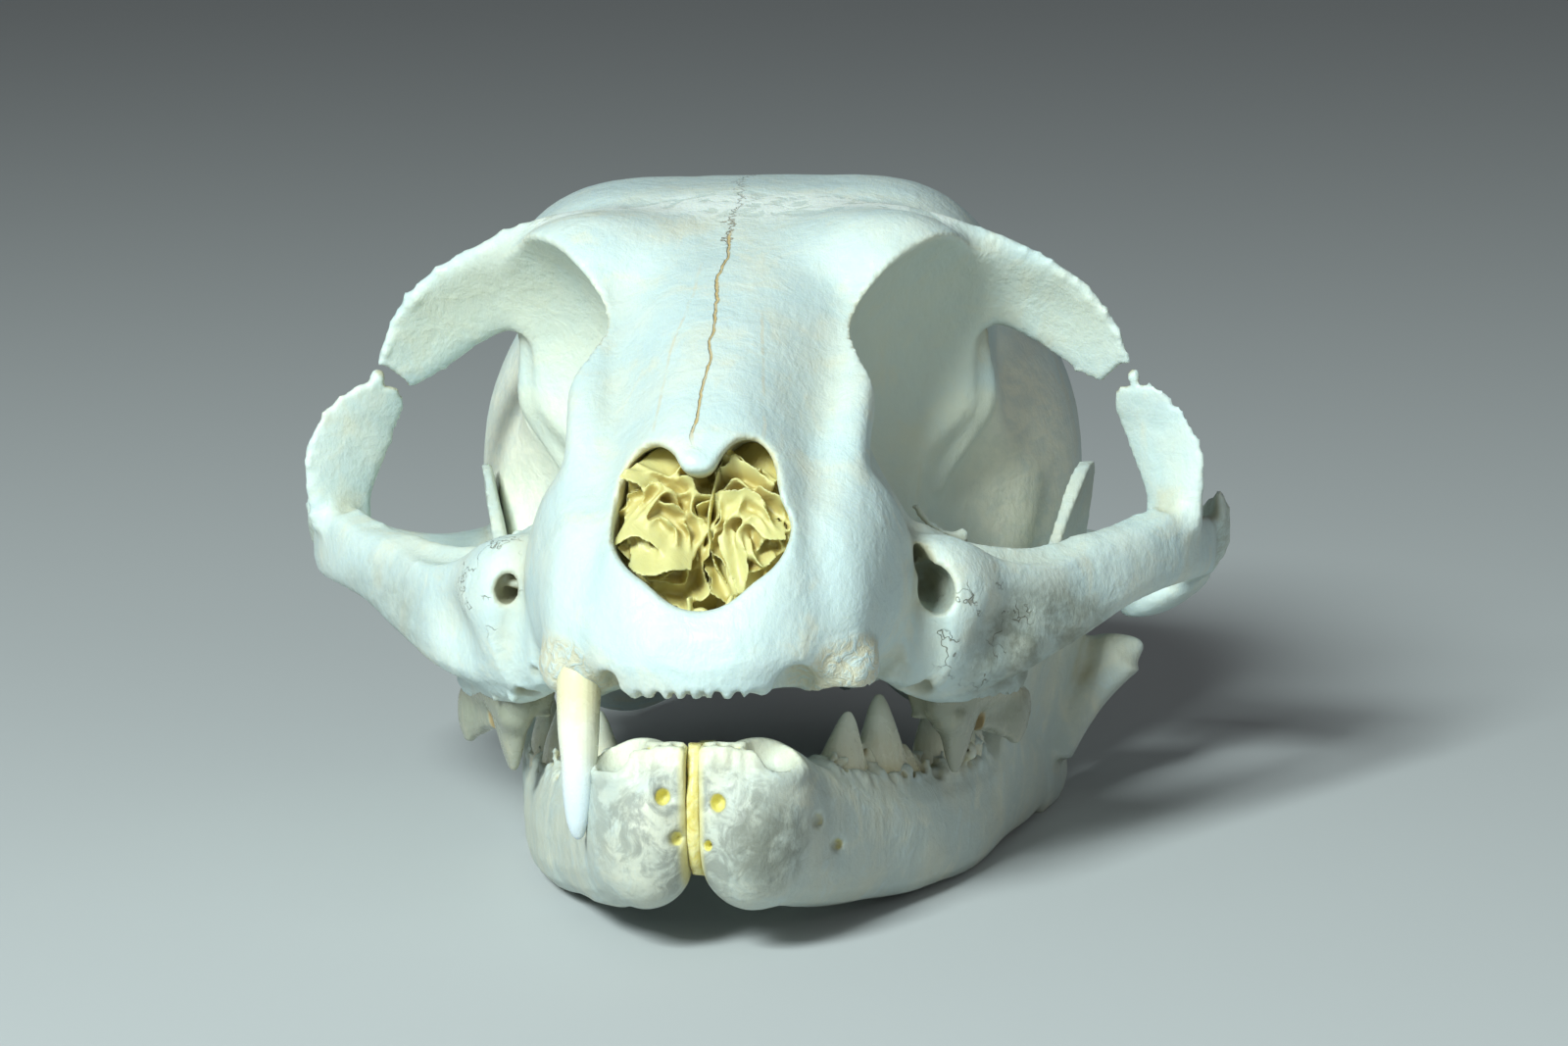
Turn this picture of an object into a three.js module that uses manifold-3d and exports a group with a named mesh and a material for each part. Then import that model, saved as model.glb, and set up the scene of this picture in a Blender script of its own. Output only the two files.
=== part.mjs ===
// Skull of a domestic cat, its lower jaw nearly closed, standing on its own jaw bones, as a three.js scene graph.
//
// Every bone is shaped on a LEVEL skull: millimetres, +X to the animal's left, +Y towards the back of the head,
// +Z up, y = 0 at the front tip of the upper jaw and z = 0 at the rims of the upper tooth sockets. The last step
// tips the finished skull back until the jaw stands on the floor, and brings the origin to the centre of its foot.

import * as THREE from "three";
import { mergeVertices } from "three/addons/utils/BufferGeometryUtils.js";
import { LoftGeometry } from "three/addons/geometries/LoftGeometry.js";
import Module from "manifold-3d";

const wasm = await Module();
wasm.setup();

// ---------------------------------------------------------------- driving dimensions, in mm

const BRAINCASE_BACK = 87; // front tip of the upper jaw to the back of the brain's case
const BRAINCASE_HALF_WIDTH = 22.4;
const BRAINCASE_LENGTH = 48;
const ORBIT = { at: [19.5, 27, 19], radii: [11, 13.5, 10.8] }; // the hollow of one eye socket
const NOSE_HALF_WIDTH = 5.7;
const CANINE = { at: [-8.5, 6.0, 0.6], length: 10.6, halfWidth: 1.6, halfDepth: 2.1 };
const CHEEK_TOOTH_LINE = -1.6; // height of the bone's edge above the upper cheek teeth
const CHIN_HALF_GAP = 0.75; // half the slot between the two jaw bones, where the chin pad sits
const JAW_SWING = 2.5; // degrees that the loose lower jaw sits turned to the animal's left
const JAW_SHIFT = -0.8; // and how far it sits to one side
const REST_LEAN = 9.24; // degrees that the skull leans back when it stands on its jaw
const FLOOR_DROP = 18.45; // from the socket rims down to the floor, once it leans
const MIDDLE_BACK = 44.78; // from the front tip to the middle of its length, once it leans
const SAW = 0.3; // width of the cut between two named parts of one bone
const FAR = 200; // reach of a cutting block, well past the skull

// ---------------------------------------------------------------- colours

const finish = (name, color, roughness) =>
  new THREE.MeshStandardMaterial({ name, color, roughness, metalness: 0 });
const BONE = finish("bone", 0xe6e6da, 0.55);
const JAW_BONE = finish("jaw_bone", 0xdedccb, 0.6);
const THIN_BONE = finish("thin_bone", 0xd9c98a, 0.6);
const CARTILAGE = finish("cartilage", 0xd8bf5e, 0.6);

// ---------------------------------------------------------------- making and joining solids

// A closed three.js geometry as a manifold-3d solid, turned to face outwards.
function solidOf(geometry) {
  const bare = new THREE.BufferGeometry().setAttribute("position", geometry.getAttribute("position"));
  bare.setIndex(geometry.getIndex());
  const merged = mergeVertices(bare, 1e-4);
  const faces = [];
  const index = merged.index.array;
  const at = new THREE.Vector3();
  const next = new THREE.Vector3();
  const last = new THREE.Vector3();
  let volume = 0;
  for (let i = 0; i < index.length; i += 3) {
    const [a, b, c] = index.slice(i, i + 3);
    if (a === b || b === c || a === c) continue; // a face that closed up at a pole
    const points = merged.attributes.position;
    at.fromBufferAttribute(points, a);
    next.fromBufferAttribute(points, b);
    last.fromBufferAttribute(points, c);
    volume += at.dot(next.cross(last));
    faces.push([a, b, c]);
  }
  const triVerts = new Uint32Array(faces.flatMap((f) => (volume < 0 ? f.reverse() : f)));
  return new wasm.Manifold(
    new wasm.Mesh({ numProp: 3, vertProperties: merged.attributes.position.array, triVerts }),
  );
}

// A closed body through a row of rings. Rings that run the wrong way round for a loft are turned over.
function loft(rings) {
  const middle = (ring) => ring.reduce((sum, p) => sum.add(p), new THREE.Vector3()).divideScalar(ring.length);
  const start = middle(rings[0]);
  const facing = new THREE.Vector3();
  rings[0].forEach((p, i) => {
    const q = rings[0][(i + 1) % rings[0].length];
    facing.add(p.clone().sub(start).cross(q.clone().sub(start)));
  });
  const onward = middle(rings[1]).sub(start);
  const wound = facing.dot(onward) < 0 ? rings.map((ring) => [...ring].reverse()) : rings;
  return solidOf(new LoftGeometry(wound, { capStart: true, capEnd: true }));
}

const join = (...solids) => solids.reduce((sum, next) => sum.add(next));
const cut = (solid, ...cutters) => cutters.reduce((rest, next) => rest.subtract(next), solid);
const mirrored = ([x, y, z], side) => [side * x, y, z];

// An egg shape: a ball stretched to three radii, then turned by degrees about X, Y and Z. Detail sets its facets.
function egg(at, radii, turn = [0, 0, 0], detail = 2) {
  const euler = new THREE.Euler(...turn.map(THREE.MathUtils.degToRad));
  const matrix = new THREE.Matrix4().compose(
    new THREE.Vector3(...at),
    new THREE.Quaternion().setFromEuler(euler),
    new THREE.Vector3(...radii),
  );
  return solidOf(new THREE.IcosahedronGeometry(1, detail).applyMatrix4(matrix));
}

// The same egg on one side of the head: side 1 is the animal's left and -1 its right.
const sideEgg = (side, at, radii, [x, y, z] = [0, 0, 0], detail = 2) =>
  egg(mirrored(at, side), radii, [x, side * y, side * z], detail);

// A block from its lowest to its highest corner.
function block(low, high) {
  const [w, d, h] = low.map((v, i) => high[i] - v);
  const middle = low.map((v, i) => (v + high[i]) / 2);
  return solidOf(new THREE.BoxGeometry(w, d, h).translate(...middle));
}

// The same block on one side of the head.
function sideBlock(side, [x0, y0, z0], [x1, y1, z1]) {
  return block([Math.min(side * x0, side * x1), y0, z0], [Math.max(side * x0, side * x1), y1, z1]);
}

// Reads a list of stations as smooth curves: value(t) for t from 0 to 1 gives the numbers between them.
function smooth(rows) {
  const curves = rows[0].map((_, column) =>
    new THREE.CatmullRomCurve3(rows.map((row, i) => new THREE.Vector3(row[column], i, 0))),
  );
  return (t) => curves.map((curve) => curve.getPoint(t).x);
}

// A bent bar with an oval section. Each station is [x, y, z, ax, ay, az, thick]: a centre, the arm from there to
// the middle of one flat edge, and half the thickness across it. "square" above 2 flattens the section's sides.
function bar(side, stations, { steps = 14, sides = 12, square = 2.4 } = {}) {
  const read = smooth(stations);
  const rounded = (v) => Math.sign(v) * Math.abs(v) ** (2 / square);
  const centreAt = (t) => new THREE.Vector3(...read(THREE.MathUtils.clamp(t, 0, 1)).slice(0, 3));
  const rings = [];
  for (let i = 0; i <= steps; i++) {
    const t = i / steps;
    const [x, y, z, ax, ay, az, thick] = read(t);
    const along = centreAt(t + 0.02).sub(centreAt(t - 0.02));
    const arm = new THREE.Vector3(ax, ay, az);
    const across = new THREE.Vector3().crossVectors(along, arm).setLength(thick);
    const ring = [];
    for (let j = 0; j < sides; j++) {
      const turn = (j / sides) * 2 * Math.PI;
      const p = new THREE.Vector3(x, y, z)
        .addScaledVector(arm, rounded(Math.cos(turn)))
        .addScaledVector(across, rounded(Math.sin(turn)));
      ring.push(new THREE.Vector3(side * p.x, p.y, p.z));
    }
    rings.push(ring);
  }
  return loft(rings);
}

// A body lofted from front to back. Each station is [y, low, high, halfLow, halfHigh]: where the section stands, its
// bottom and top, and its half width near each. Sections are soft-cornered trapezia.
function hull(stations, { steps = 10, sides = 16, square = 2.7 } = {}) {
  const read = smooth(stations);
  const rounded = (v) => Math.sign(v) * Math.abs(v) ** (2 / square);
  const rings = [];
  for (let i = 0; i <= steps; i++) {
    const [y, low, high, halfLow, halfHigh] = read(i / steps);
    const ring = [];
    for (let j = 0; j < sides; j++) {
      const turn = ((j + 0.5) / sides) * 2 * Math.PI;
      const up = (rounded(Math.sin(turn)) + 1) / 2;
      const half = THREE.MathUtils.lerp(halfLow, halfHigh, up);
      ring.push(new THREE.Vector3(half * rounded(Math.cos(turn)), y, THREE.MathUtils.lerp(low, high, up)));
    }
    rings.push(ring);
  }
  return loft(rings);
}

// One cusp of a tooth: an oval cone from its neck to its tip, with a slightly full flank.
function cusp(side, neck, tip, halfLength, halfWidth, rowTurn) {
  const turn = THREE.MathUtils.degToRad(rowTurn);
  const alongRow = new THREE.Vector3(Math.sin(turn), Math.cos(turn), 0);
  const acrossRow = new THREE.Vector3(Math.cos(turn), -Math.sin(turn), 0);
  const shares = [1, 0.8, 0.16];
  const rings = shares.map((share, i) => {
    const centre = new THREE.Vector3(...neck).lerp(new THREE.Vector3(...tip), i / (shares.length - 1));
    return Array.from({ length: 5 }, (_, j) => {
      const angle = (j / 5) * 2 * Math.PI;
      const p = centre
        .clone()
        .addScaledVector(alongRow, halfLength * share * Math.cos(angle))
        .addScaledVector(acrossRow, halfWidth * share * Math.sin(angle));
      return new THREE.Vector3(side * p.x, p.y, p.z);
    });
  });
  return loft(rings);
}

// ---------------------------------------------------------------- the cranium

// Snout, brow and the front of the brain's roof, as one body before anything is hollowed out of it.
function faceAndBrow() {
  return hull([
    [0, 1.4, 3.4, 2.8, 2.4],
    [0.8, 0.6, 4.6, 4.6, 3.8],
    [3, -0.4, 11, 8.6, 5.0],
    [6, -0.6, 16.2, 10.9, 4.4],
    [12, -1.0, 21, 13.4, 5.2],
    [18, -1.4, 25, 16.0, 7.0],
    [24, -1.4, 28.2, 17.4, 9.8],
    [30, -0.6, 30.8, 16.0, 15.2],
    [36, 1.5, 33.4, 11, 18.6],
    [42, 4.0, 35.0, 9.5, 18.2],
    [50, 4.5, 36.0, 12, 16.2],
    [58, 6.0, 35.6, 12, 13],
    [66, 9.0, 33.0, 9, 7],
  ]);
}

// The rims of bone that carry the upper cheek teeth.
function toothRim(side) {
  const stations = [
    [11.0, 15.5, 2.4, 0, 0, 2.4, 1.6],
    [13.8, 20.5, 1.6, 0, 0, 3.2, 2.3],
    [16.0, 26.0, 1.6, 0, 0, 3.3, 2.4],
    [17.3, 31.0, 1.8, 0, 0, 3.0, 2.1],
    [17.4, 35.0, 2.4, 0, 0, 1.8, 1.4],
  ];
  return bar(side, stations, { steps: 4, sides: 8 });
}

function braincase() {
  const middle = BRAINCASE_BACK - BRAINCASE_LENGTH / 2;
  const vault = egg([0, middle, 15.4], [BRAINCASE_HALF_WIDTH, BRAINCASE_LENGTH / 2, 20.1], [0, 0, 0], 3);
  const underside = block([-FAR, -FAR, -FAR], [FAR, FAR, 4]);
  return cut(vault, underside);
}

// The back of the head: the low crest round it, the two condyles that sat on the neck, and the knobs beside them.
function occiput() {
  const crest = egg([0, 75.3, 12.6], [19.9, 1.4, 16.2], [-41, 0, 0]);
  const knobs = [1, -1].flatMap((side) => [
    sideEgg(side, [5.8, 84.7, 6.4], [3.2, 5.0, 4.6], [-14, 0, -20], 1),
    sideEgg(side, [15.0, 77.0, 3.4], [2.6, 2.3, 4.2], [10, 0, 0], 1),
  ]);
  return join(egg([0, 78.6, 12], [14.5, 8.6, 11.5], [0, 0, 0], 1), crest, ...knobs);
}

// The hearing capsule under each ear.
const bulla = (side) => sideEgg(side, [12.3, 67.6, 3.2], [6.3, 9.8, 7.0], [0, 0, -14], 1);

// The cheekbone arch, from the upper jaw out and back to the joint of the lower jaw.
function zygomaticArch(side) {
  return bar(
    side,
    [
      [14.0, 19.0, 4.4, 0, 0, 4.2, 2.4],
      [18.6, 23.6, 4.0, 0, 0, 4.6, 2.4],
      [22.8, 29.5, 5.2, 0, 0, 3.7, 2.2],
      [26.4, 34.6, 7.5, 0, 0, 2.7, 2.1],
      [29.9, 40.5, 9.3, 0, 0, 3.2, 1.7],
      [31.9, 47.0, 9.7, 0, 0, 3.3, 1.4],
      [31.7, 52.5, 9.4, 0, 0, 3.0, 1.4],
      [28.6, 57.6, 7.9, 0, 0, 2.4, 2.0],
      [24.0, 60.0, 7.4, 0, 0, 2.4, 2.8],
      [18.5, 61.5, 8.0, 0, 0, 3.2, 3.4],
    ],
    { steps: 10, sides: 8, square: 2.6 },
  );
}

// The upright plate of the cheekbone, the outer wall of the eye socket.
function jugalProcess(side) {
  return bar(
    side,
    [
      [29.6, 40.3, 9.5, 1.7, -1.6, 0.1, 0.9],
      [29.5, 40.0, 12.2, 1.9, -1.7, 0.2, 0.9],
      [28.9, 39.8, 15.0, 2.2, -1.8, 0.2, 0.8],
      [28.1, 39.8, 17.4, 2.3, -1.8, 0.2, 0.75],
      [27.1, 39.6, 19.5, 1.7, -1.4, 0.1, 0.7],
      [26.5, 39.4, 21.0, 0.4, -0.4, 0.0, 0.6],
    ],
    { steps: 5, sides: 8 },
  );
}

// The brow's process, which comes down to meet the cheekbone and almost closes the ring round the eye.
function postorbitalProcess(side) {
  return bar(
    side,
    [
      [9.0, 38.2, 29.0, 0.8, -3.4, 3.4, 2.6],
      [14.5, 38.4, 28.5, 0.8, -2.6, 2.9, 1.7],
      [18.3, 38.6, 27.3, 1.1, -2.3, 2.5, 1.15],
      [21.2, 38.9, 25.6, 1.1, -2.2, 2.3, 0.85],
      [23.4, 39.2, 23.7, 1.4, -2.0, 1.8, 0.7],
      [24.8, 39.2, 21.9, 1.3, -1.3, 0.8, 0.6],
      [25.2, 39.2, 20.8, 0.8, -0.8, 0.3, 0.5],
    ],
    { steps: 6, sides: 8 },
  );
}

// The nose: a heart-shaped opening that runs back into the snout, one lobe on each side of the nasal bones.
function noseHollow() {
  const main = egg([0, 8, 9.6], [NOSE_HALF_WIDTH + 0.3, 13.5, 5.5]);
  const lobes = [1, -1].map((side) => sideEgg(side, [3.1, 8, 12.0], [2.9, 9.5, 4.1], [0, 0, 0], 1));
  return join(main, ...lobes);
}

// The hollow for the chewing muscle, between the braincase and the cheekbone arch.
const temporalHollow = (side) => sideEgg(side, [23.4, 47, 10.5], [6.2, 8.5, 9], [0, 0, 0], 1);

// The swelling over the root of each upper canine tooth.
const canineSwelling = (side) => sideEgg(side, [8.2, 8.2, 5.2], [2.7, 3.5, 5.2], [0, 0, 0], 1);

const orbitHollow = (side) => sideEgg(side, ORBIT.at, ORBIT.radii);
const infraorbitalCanal = (side) => sideEgg(side, [14.0, 17.5, 6.6], [1.4, 9, 2.1], [0, 0, -12], 1);
const earOpening = (side) => sideEgg(side, [20.5, 66.5, 6.0], [5.5, 2.3, 2.3], [0, 0, 0], 1);
const jawJointHollow = (side) => sideEgg(side, [22.2, 58.4, 1.2], [9.0, 3.1, 4.0], [0, 0, 0], 1);
const emptyCanineSocket = () => egg([8.2, 6.6, 0.5], [1.8, 2.3, 6], [0, 0, 0], 1);

// The roof of the mouth, and the passage behind it between two thin plates.
function palateHollow() {
  const roof = egg([0, 19, -3.2], [9.5, 21, 4.2], [0, 0, 0], 1);
  const passage = egg([0, 47, 2.0], [4.4, 13, 4.6], [0, 0, 0], 1);
  return join(roof, passage);
}

function pterygoid(side) {
  return bar(
    side,
    [
      [5.8, 36.0, 3.6, 0, 0, 3.6, 0.9],
      [5.7, 44.0, 3.4, 0, 0, 4.2, 0.8],
      [5.4, 52.0, 1.0, 0, 0.3, 2.6, 0.7],
    ],
    { steps: 3, sides: 6 },
  );
}

const foramenMagnum = () => egg([0, 84, 9.2], [5.6, 14, 4.6], [-10, 0, 0], 1);

// The cutting tooth of the upper jaw, a long blade with two points and an inner bump.
function upperCarnassial(side) {
  const rowTurn = 25;
  const neck = CHEEK_TOOTH_LINE + 2;
  return join(
    cusp(side, [14.2, 20.8, neck], [13.9, 20.9, -3.2], 1.9, 1.6, rowTurn),
    cusp(side, [15.7, 24.2, neck], [15.0, 24.4, -6.4], 2.6, 1.7, rowTurn),
    cusp(side, [18.2, 29.0, neck], [19.0, 30.2, -5.4], 2.9, 1.3, rowTurn),
    cusp(side, [17.0, 26.6, neck], [17.0, 26.6, -3.6], 2.6, 1.4, rowTurn),
    cusp(side, [12.6, 22.4, neck], [12.2, 22.4, -3.0], 1.4, 1.4, rowTurn),
  );
}

const upperMolar = (side) => cusp(side, [17.2, 33.0, 1.2], [17.0, 33.0, -2.6], 1.0, 1.9, 25);

function upperCanine() {
  const { at, length, halfWidth, halfDepth } = CANINE;
  const [x, y, z] = at;
  return bar(
    1,
    [
      [x, y, z + 2.4, 0, halfDepth, 0, halfWidth],
      [x, y - 0.3, z - length * 0.25, 0, halfDepth * 0.92, 0, halfWidth * 0.95],
      [x - 0.1, y - 0.5, z - length * 0.5, 0, halfDepth * 0.74, 0, halfWidth * 0.8],
      [x - 0.1, y - 0.3, z - length * 0.75, 0, halfDepth * 0.52, 0, halfWidth * 0.58],
      [x, y + 0.3, z - length * 0.94, 0, halfDepth * 0.26, 0, halfWidth * 0.3],
      [x, y + 0.6, z - length, 0, halfDepth * 0.08, 0, halfWidth * 0.1],
    ],
    { steps: 6, sides: 7, square: 2 },
  );
}

// ---------------------------------------------------------------- the lower jaw

// The bearing part of one jaw bone: from the chin back to the hook at its lower corner.
function jawBody(side) {
  const chin = sideEgg(side, [3.4, 6.9, -8.7], [3.4, 4.6, 5.7], [-16, 0, -18], 1);
  const beam = bar(
    side,
    [
      [3.6, 6.0, -8.6, 0, -0.6, 4.4, 2.2],
      [4.8, 9.0, -9.4, 0, -0.3, 4.9, 2.8],
      [6.4, 13, -10.0, 0, 0, 4.7, 2.8],
      [8.4, 18, -10.4, 0, 0, 4.2, 2.6],
      [11.3, 25, -10.2, 0, 0, 4.1, 2.5],
      [13.8, 32, -9.6, 0, 0, 4.1, 2.2],
      [15.3, 39, -8.5, 0, 0, 4.0, 1.9],
      [16.6, 46, -8.1, 0, 0, 2.9, 1.6],
      [17.5, 53, -7.9, 0, 0, 2.1, 1.4],
      [18.0, 59.5, -7.9, 0, 0, 1.3, 1.1],
    ],
    { steps: 9, sides: 8, square: 2.6 },
  );
  return join(chin, beam);
}

// The upright plate of the jaw: the tall blade for the chewing muscle and the neck of the joint. It leans outwards
// and flares towards the back.
function jawRamus(side) {
  const outline = [
    [35.5, -7], [39, -1.5], [42, 5], [44.8, 10.2], [47.2, 13.2], [49.4, 13.9], [50.8, 12.6], [51.6, 9.4],
    [53, 5.6], [55.4, 3.2], [58.4, 1.6], [59.4, -1.2], [57.6, -4.6], [58.8, -7.8], [52, -9.2], [42, -10.4],
  ];
  const shape = new THREE.Shape(
    new THREE.SplineCurve([...outline, outline[0]].map(([y, z]) => new THREE.Vector2(y, z))).getPoints(20),
  );
  const halfThick = 1.0;
  const plate = new THREE.ExtrudeGeometry(shape, { depth: 2 * halfThick, bevelEnabled: false });
  const points = plate.attributes.position;
  for (let i = 0; i < points.count; i++) {
    const [y, z, out] = [points.getX(i), points.getY(i), points.getZ(i) - halfThick];
    const thinning = THREE.MathUtils.lerp(1, 0.6, THREE.MathUtils.clamp((z + 4) / 18, 0, 1));
    const lean = 15.4 + 0.15 * (y - 38) + 0.21 * (z + 8);
    points.setXYZ(i, side * (lean + out * thinning), y, z);
  }
  const condyle = sideEgg(side, [22.0, 58.3, 0.3], [5.0, 2.0, 2.1], [0, -4, 0], 1);
  return join(solidOf(plate), condyle);
}

function lowerCheekTeeth(side) {
  const rowTurn = 22;
  return join(
    // third premolar
    cusp(side, [8.1, 17.4, -8], [8.3, 17.9, -2.3], 2.1, 1.3, rowTurn),
    cusp(side, [7.2, 15.2, -8], [7.2, 15.2, -5.0], 1.1, 1.0, rowTurn),
    cusp(side, [9.0, 19.8, -8], [9.0, 19.9, -4.6], 1.2, 1.1, rowTurn),
    // fourth premolar
    cusp(side, [10.5, 23.4, -8], [10.4, 23.6, -1.3], 2.2, 1.4, rowTurn),
    cusp(side, [9.7, 21.3, -8], [9.7, 21.3, -4.4], 1.1, 1.1, rowTurn),
    cusp(side, [11.6, 26.2, -8], [11.6, 26.3, -3.6], 1.4, 1.2, rowTurn),
    // carnassial molar
    cusp(side, [13.0, 29.4, -7.5], [12.8, 29.2, -1.6], 2.2, 1.4, rowTurn),
    cusp(side, [14.5, 33.2, -7.5], [14.6, 33.6, -1.0], 2.4, 1.4, rowTurn),
  );
}

function jawBone(side, floor) {
  const canineSocket = sideEgg(side, [4.7, 5.6, -3.8], [1.5, 1.9, 5.2], [-14, 14, 0], 1);
  const otherSide = sideBlock(-side, [-CHIN_HALF_GAP, -FAR, -FAR], [FAR, FAR, FAR]);
  const bone = join(jawBody(side), jawRamus(side), lowerCheekTeeth(side));
  return cut(bone, canineSocket, otherSide, floor);
}

// The pad of gristle that held the two jaw bones together at the chin.
function chinPad() {
  const half = CHIN_HALF_GAP - SAW;
  const outline = egg([0, 8.2, -9.2], [30, 4.6, 4.0], [-30, 0, 0], 1);
  return outline.intersect(block([-half, -FAR, -FAR], [half, FAR, FAR]));
}

// ---------------------------------------------------------------- inside the nose

// Scrolls of paper-thin bone, shown as one leaf-shaped body against the outer wall on each side.
function noseScrolls(side) {
  const leaf = sideEgg(side, [5.2, 13.5, 9.6], [3.6, 6.5, 5.4], [0, 0, 12], 1);
  const behind = block([-FAR, 18.6, -FAR], [FAR, FAR, FAR]);
  const slack = 1 - SAW / NOSE_HALF_WIDTH;
  const room = egg([0, 8, 9.6], [NOSE_HALF_WIDTH + 0.3, 13.5, 5.5].map((radius) => radius * slack));
  return cut(leaf.intersect(room), behind);
}

// The upright wall of bone between the two sides of the nose.
function septum() {
  const wall = egg([0.4, 14, 9.6], [0.5, 9, 7], [0, 5, 0], 1);
  const room = egg([0, 8, 9.6], [NOSE_HALF_WIDTH, 13.2, 5.2], [0, 0, 0], 1);
  return cut(wall.intersect(room), block([-FAR, 18.6, -FAR], [FAR, FAR, FAR]));
}

// ---------------------------------------------------------------- parting the cranium into named parts

function cranium() {
  const sides = [1, -1];
  const bone = join(
    faceAndBrow(),
    braincase(),
    occiput(),
    ...sides.flatMap((side) => [
      canineSwelling(side),
      toothRim(side),
      zygomaticArch(side),
      bulla(side),
      pterygoid(side),
    ]),
  );
  const hollowed = cut(
    bone,
    noseHollow(),
    palateHollow(),
    foramenMagnum(),
    emptyCanineSocket(),
    ...sides.flatMap((side) => [
      orbitHollow(side),
      temporalHollow(side),
      infraorbitalCanal(side),
      earOpening(side),
      jawJointHollow(side),
    ]),
  );
  return join(
    hollowed,
    upperCanine(),
    ...sides.flatMap((side) => [
      jugalProcess(side),
      postorbitalProcess(side),
      upperCarnassial(side),
      upperMolar(side),
    ]),
  );
}

// A thin upright blade along a path in plan, for sawing off one side of the face.
function curtain(side, path, low, high) {
  const rings = path.map(([x, y]) => {
    const corner = (dx, z) => new THREE.Vector3(side * (x + dx), y, z);
    return [corner(0, low), corner(SAW, low), corner(SAW, high), corner(0, high)];
  });
  return loft(rings);
}

const crossCut = (y, halfWidth) => block([-halfWidth, y - SAW / 2, -FAR], [halfWidth, y + SAW / 2, FAR]);

// The cuts between the named parts, close to where the sutures run.
function sawCuts() {
  const cheekLine = [[19.6, 8], [19.6, 24], [21.6, 34], [23, 44], [23.4, 52], [22.4, 58], [22.4, 72]];
  return [
    crossCut(19, 19.5), // snout from face
    crossCut(43.5, 22), // face from braincase
    crossCut(74, 30), // braincase from the back of the head
    ...[1, -1].flatMap((side) => [
      curtain(side, cheekLine, -FAR, 18), // arch from face and braincase
      sideBlock(side, [18.2, 30, 18], [18.2 + SAW, 48, 40]), // brow process from brow
      sideBlock(side, [24, 30, 12.6], [36, 44, 12.6 + SAW]), // orbit bar from cheekbone
      sideBlock(side, [26, 47.5, -FAR], [36, 47.5 + SAW, FAR]), // cheekbone from arch root
    ]),
  ];
}

// The bodies of a sawn solid, each named by a point near its middle.
function named(solid, places) {
  const bodies = solid.decompose();
  const middleOf = (body) => {
    const { min, max } = body.boundingBox();
    return new THREE.Vector3((min[0] + max[0]) / 2, (min[1] + max[1]) / 2, (min[2] + max[2]) / 2);
  };
  return Object.entries(places).map(([name, at]) => {
    const target = new THREE.Vector3(...at);
    bodies.sort((a, b) => middleOf(a).distanceTo(target) - middleOf(b).distanceTo(target));
    return [name, bodies[0]];
  });
}

// ---------------------------------------------------------------- the model

// A mesh of a solid, moved by a matrix.
function meshOf(name, solid, material, matrix) {
  const { vertProperties, triVerts, numProp } = solid.getMesh();
  const points = new Float32Array((vertProperties.length / numProp) * 3);
  for (let i = 0; i < points.length / 3; i++)
    points.set(vertProperties.subarray(i * numProp, i * numProp + 3), i * 3);
  const geometry = new THREE.BufferGeometry()
    .setAttribute("position", new THREE.BufferAttribute(points, 3))
    .setIndex(new THREE.BufferAttribute(triVerts, 1))
    .applyMatrix4(matrix);
  geometry.computeVertexNormals();
  const mesh = new THREE.Mesh(geometry, material);
  mesh.name = name;
  return mesh;
}

// Where each named part of the cranium is, by the middle of its bounding box.
const mirroredPlaces = (places) =>
  Object.fromEntries(
    Object.entries(places).flatMap(([name, at]) => [
      [`${name}_left`, at],
      [`${name}_right`, mirrored(at, -1)],
    ]),
  );
const CRANIUM_PARTS = {
  snout: [0, 9.7, 12.3],
  face: [0, 31, 14.3],
  braincase: [0, 58.7, 16.3],
  back_of_skull: [0, 82, 15.4],
  ...mirroredPlaces({
    cheekbone: [26.6, 34, 6],
    arch_root: [28, 55.6, 9],
    orbit_bar: [28.4, 39.8, 17],
    brow_process: [22.3, 38.6, 25.1],
  }),
};

// The lower jaw is loose, and the whole skull leans back on it.
const inHead = new THREE.Matrix4().makeRotationX(THREE.MathUtils.degToRad(-REST_LEAN));
inHead.setPosition(0, -MIDDLE_BACK, FLOOR_DROP);
const inLooseJaw = new THREE.Matrix4().makeRotationZ(THREE.MathUtils.degToRad(-JAW_SWING));
inLooseJaw.setPosition(JAW_SHIFT, 0, 0).premultiply(inHead);
const floor = solidOf(
  new THREE.BoxGeometry(FAR, FAR, FAR).translate(0, 0, -FAR / 2).applyMatrix4(inLooseJaw.clone().invert()),
);

const pieces = [
  ...named(cut(cranium(), ...sawCuts()), CRANIUM_PARTS).map(([name, solid]) => [name, solid, BONE, inHead]),
  ["nose_scrolls_left", noseScrolls(1), THIN_BONE, inHead],
  ["nose_scrolls_right", noseScrolls(-1), THIN_BONE, inHead],
  ["nose_wall", septum(), THIN_BONE, inHead],
  ["lower_jaw_left", jawBone(1, floor), JAW_BONE, inLooseJaw],
  ["lower_jaw_right", jawBone(-1, floor), JAW_BONE, inLooseJaw],
  ["chin_pad", chinPad(), CARTILAGE, inLooseJaw],
];

const skull = new THREE.Group();
skull.name = "cat_skull";
for (const [name, solid, material, matrix] of pieces) skull.add(meshOf(name, solid, material, matrix));

export default skull;
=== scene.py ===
# %% [markdown]
# # The skull of a cat
# A dry skull is one of the freest shapes there is: thin arches, hollows that run into each other and
# hardly a flat face. It is made here the way a sculptor makes it. Simple closed forms are shaped with
# mesh operators, laid on each other, and melted together in a fine grid of cells, like clay. Teeth, the
# thin bones in the nose and the gristle at the chin are pieces of their own. Lengths are in millimetres
# on a level skull until a piece is seated in the frame.

# %% Load the frame
import math
import random
import bmesh
import bpy
import numpy as np
import openvdb as vdb
from mathutils import Euler, Matrix, Vector


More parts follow.
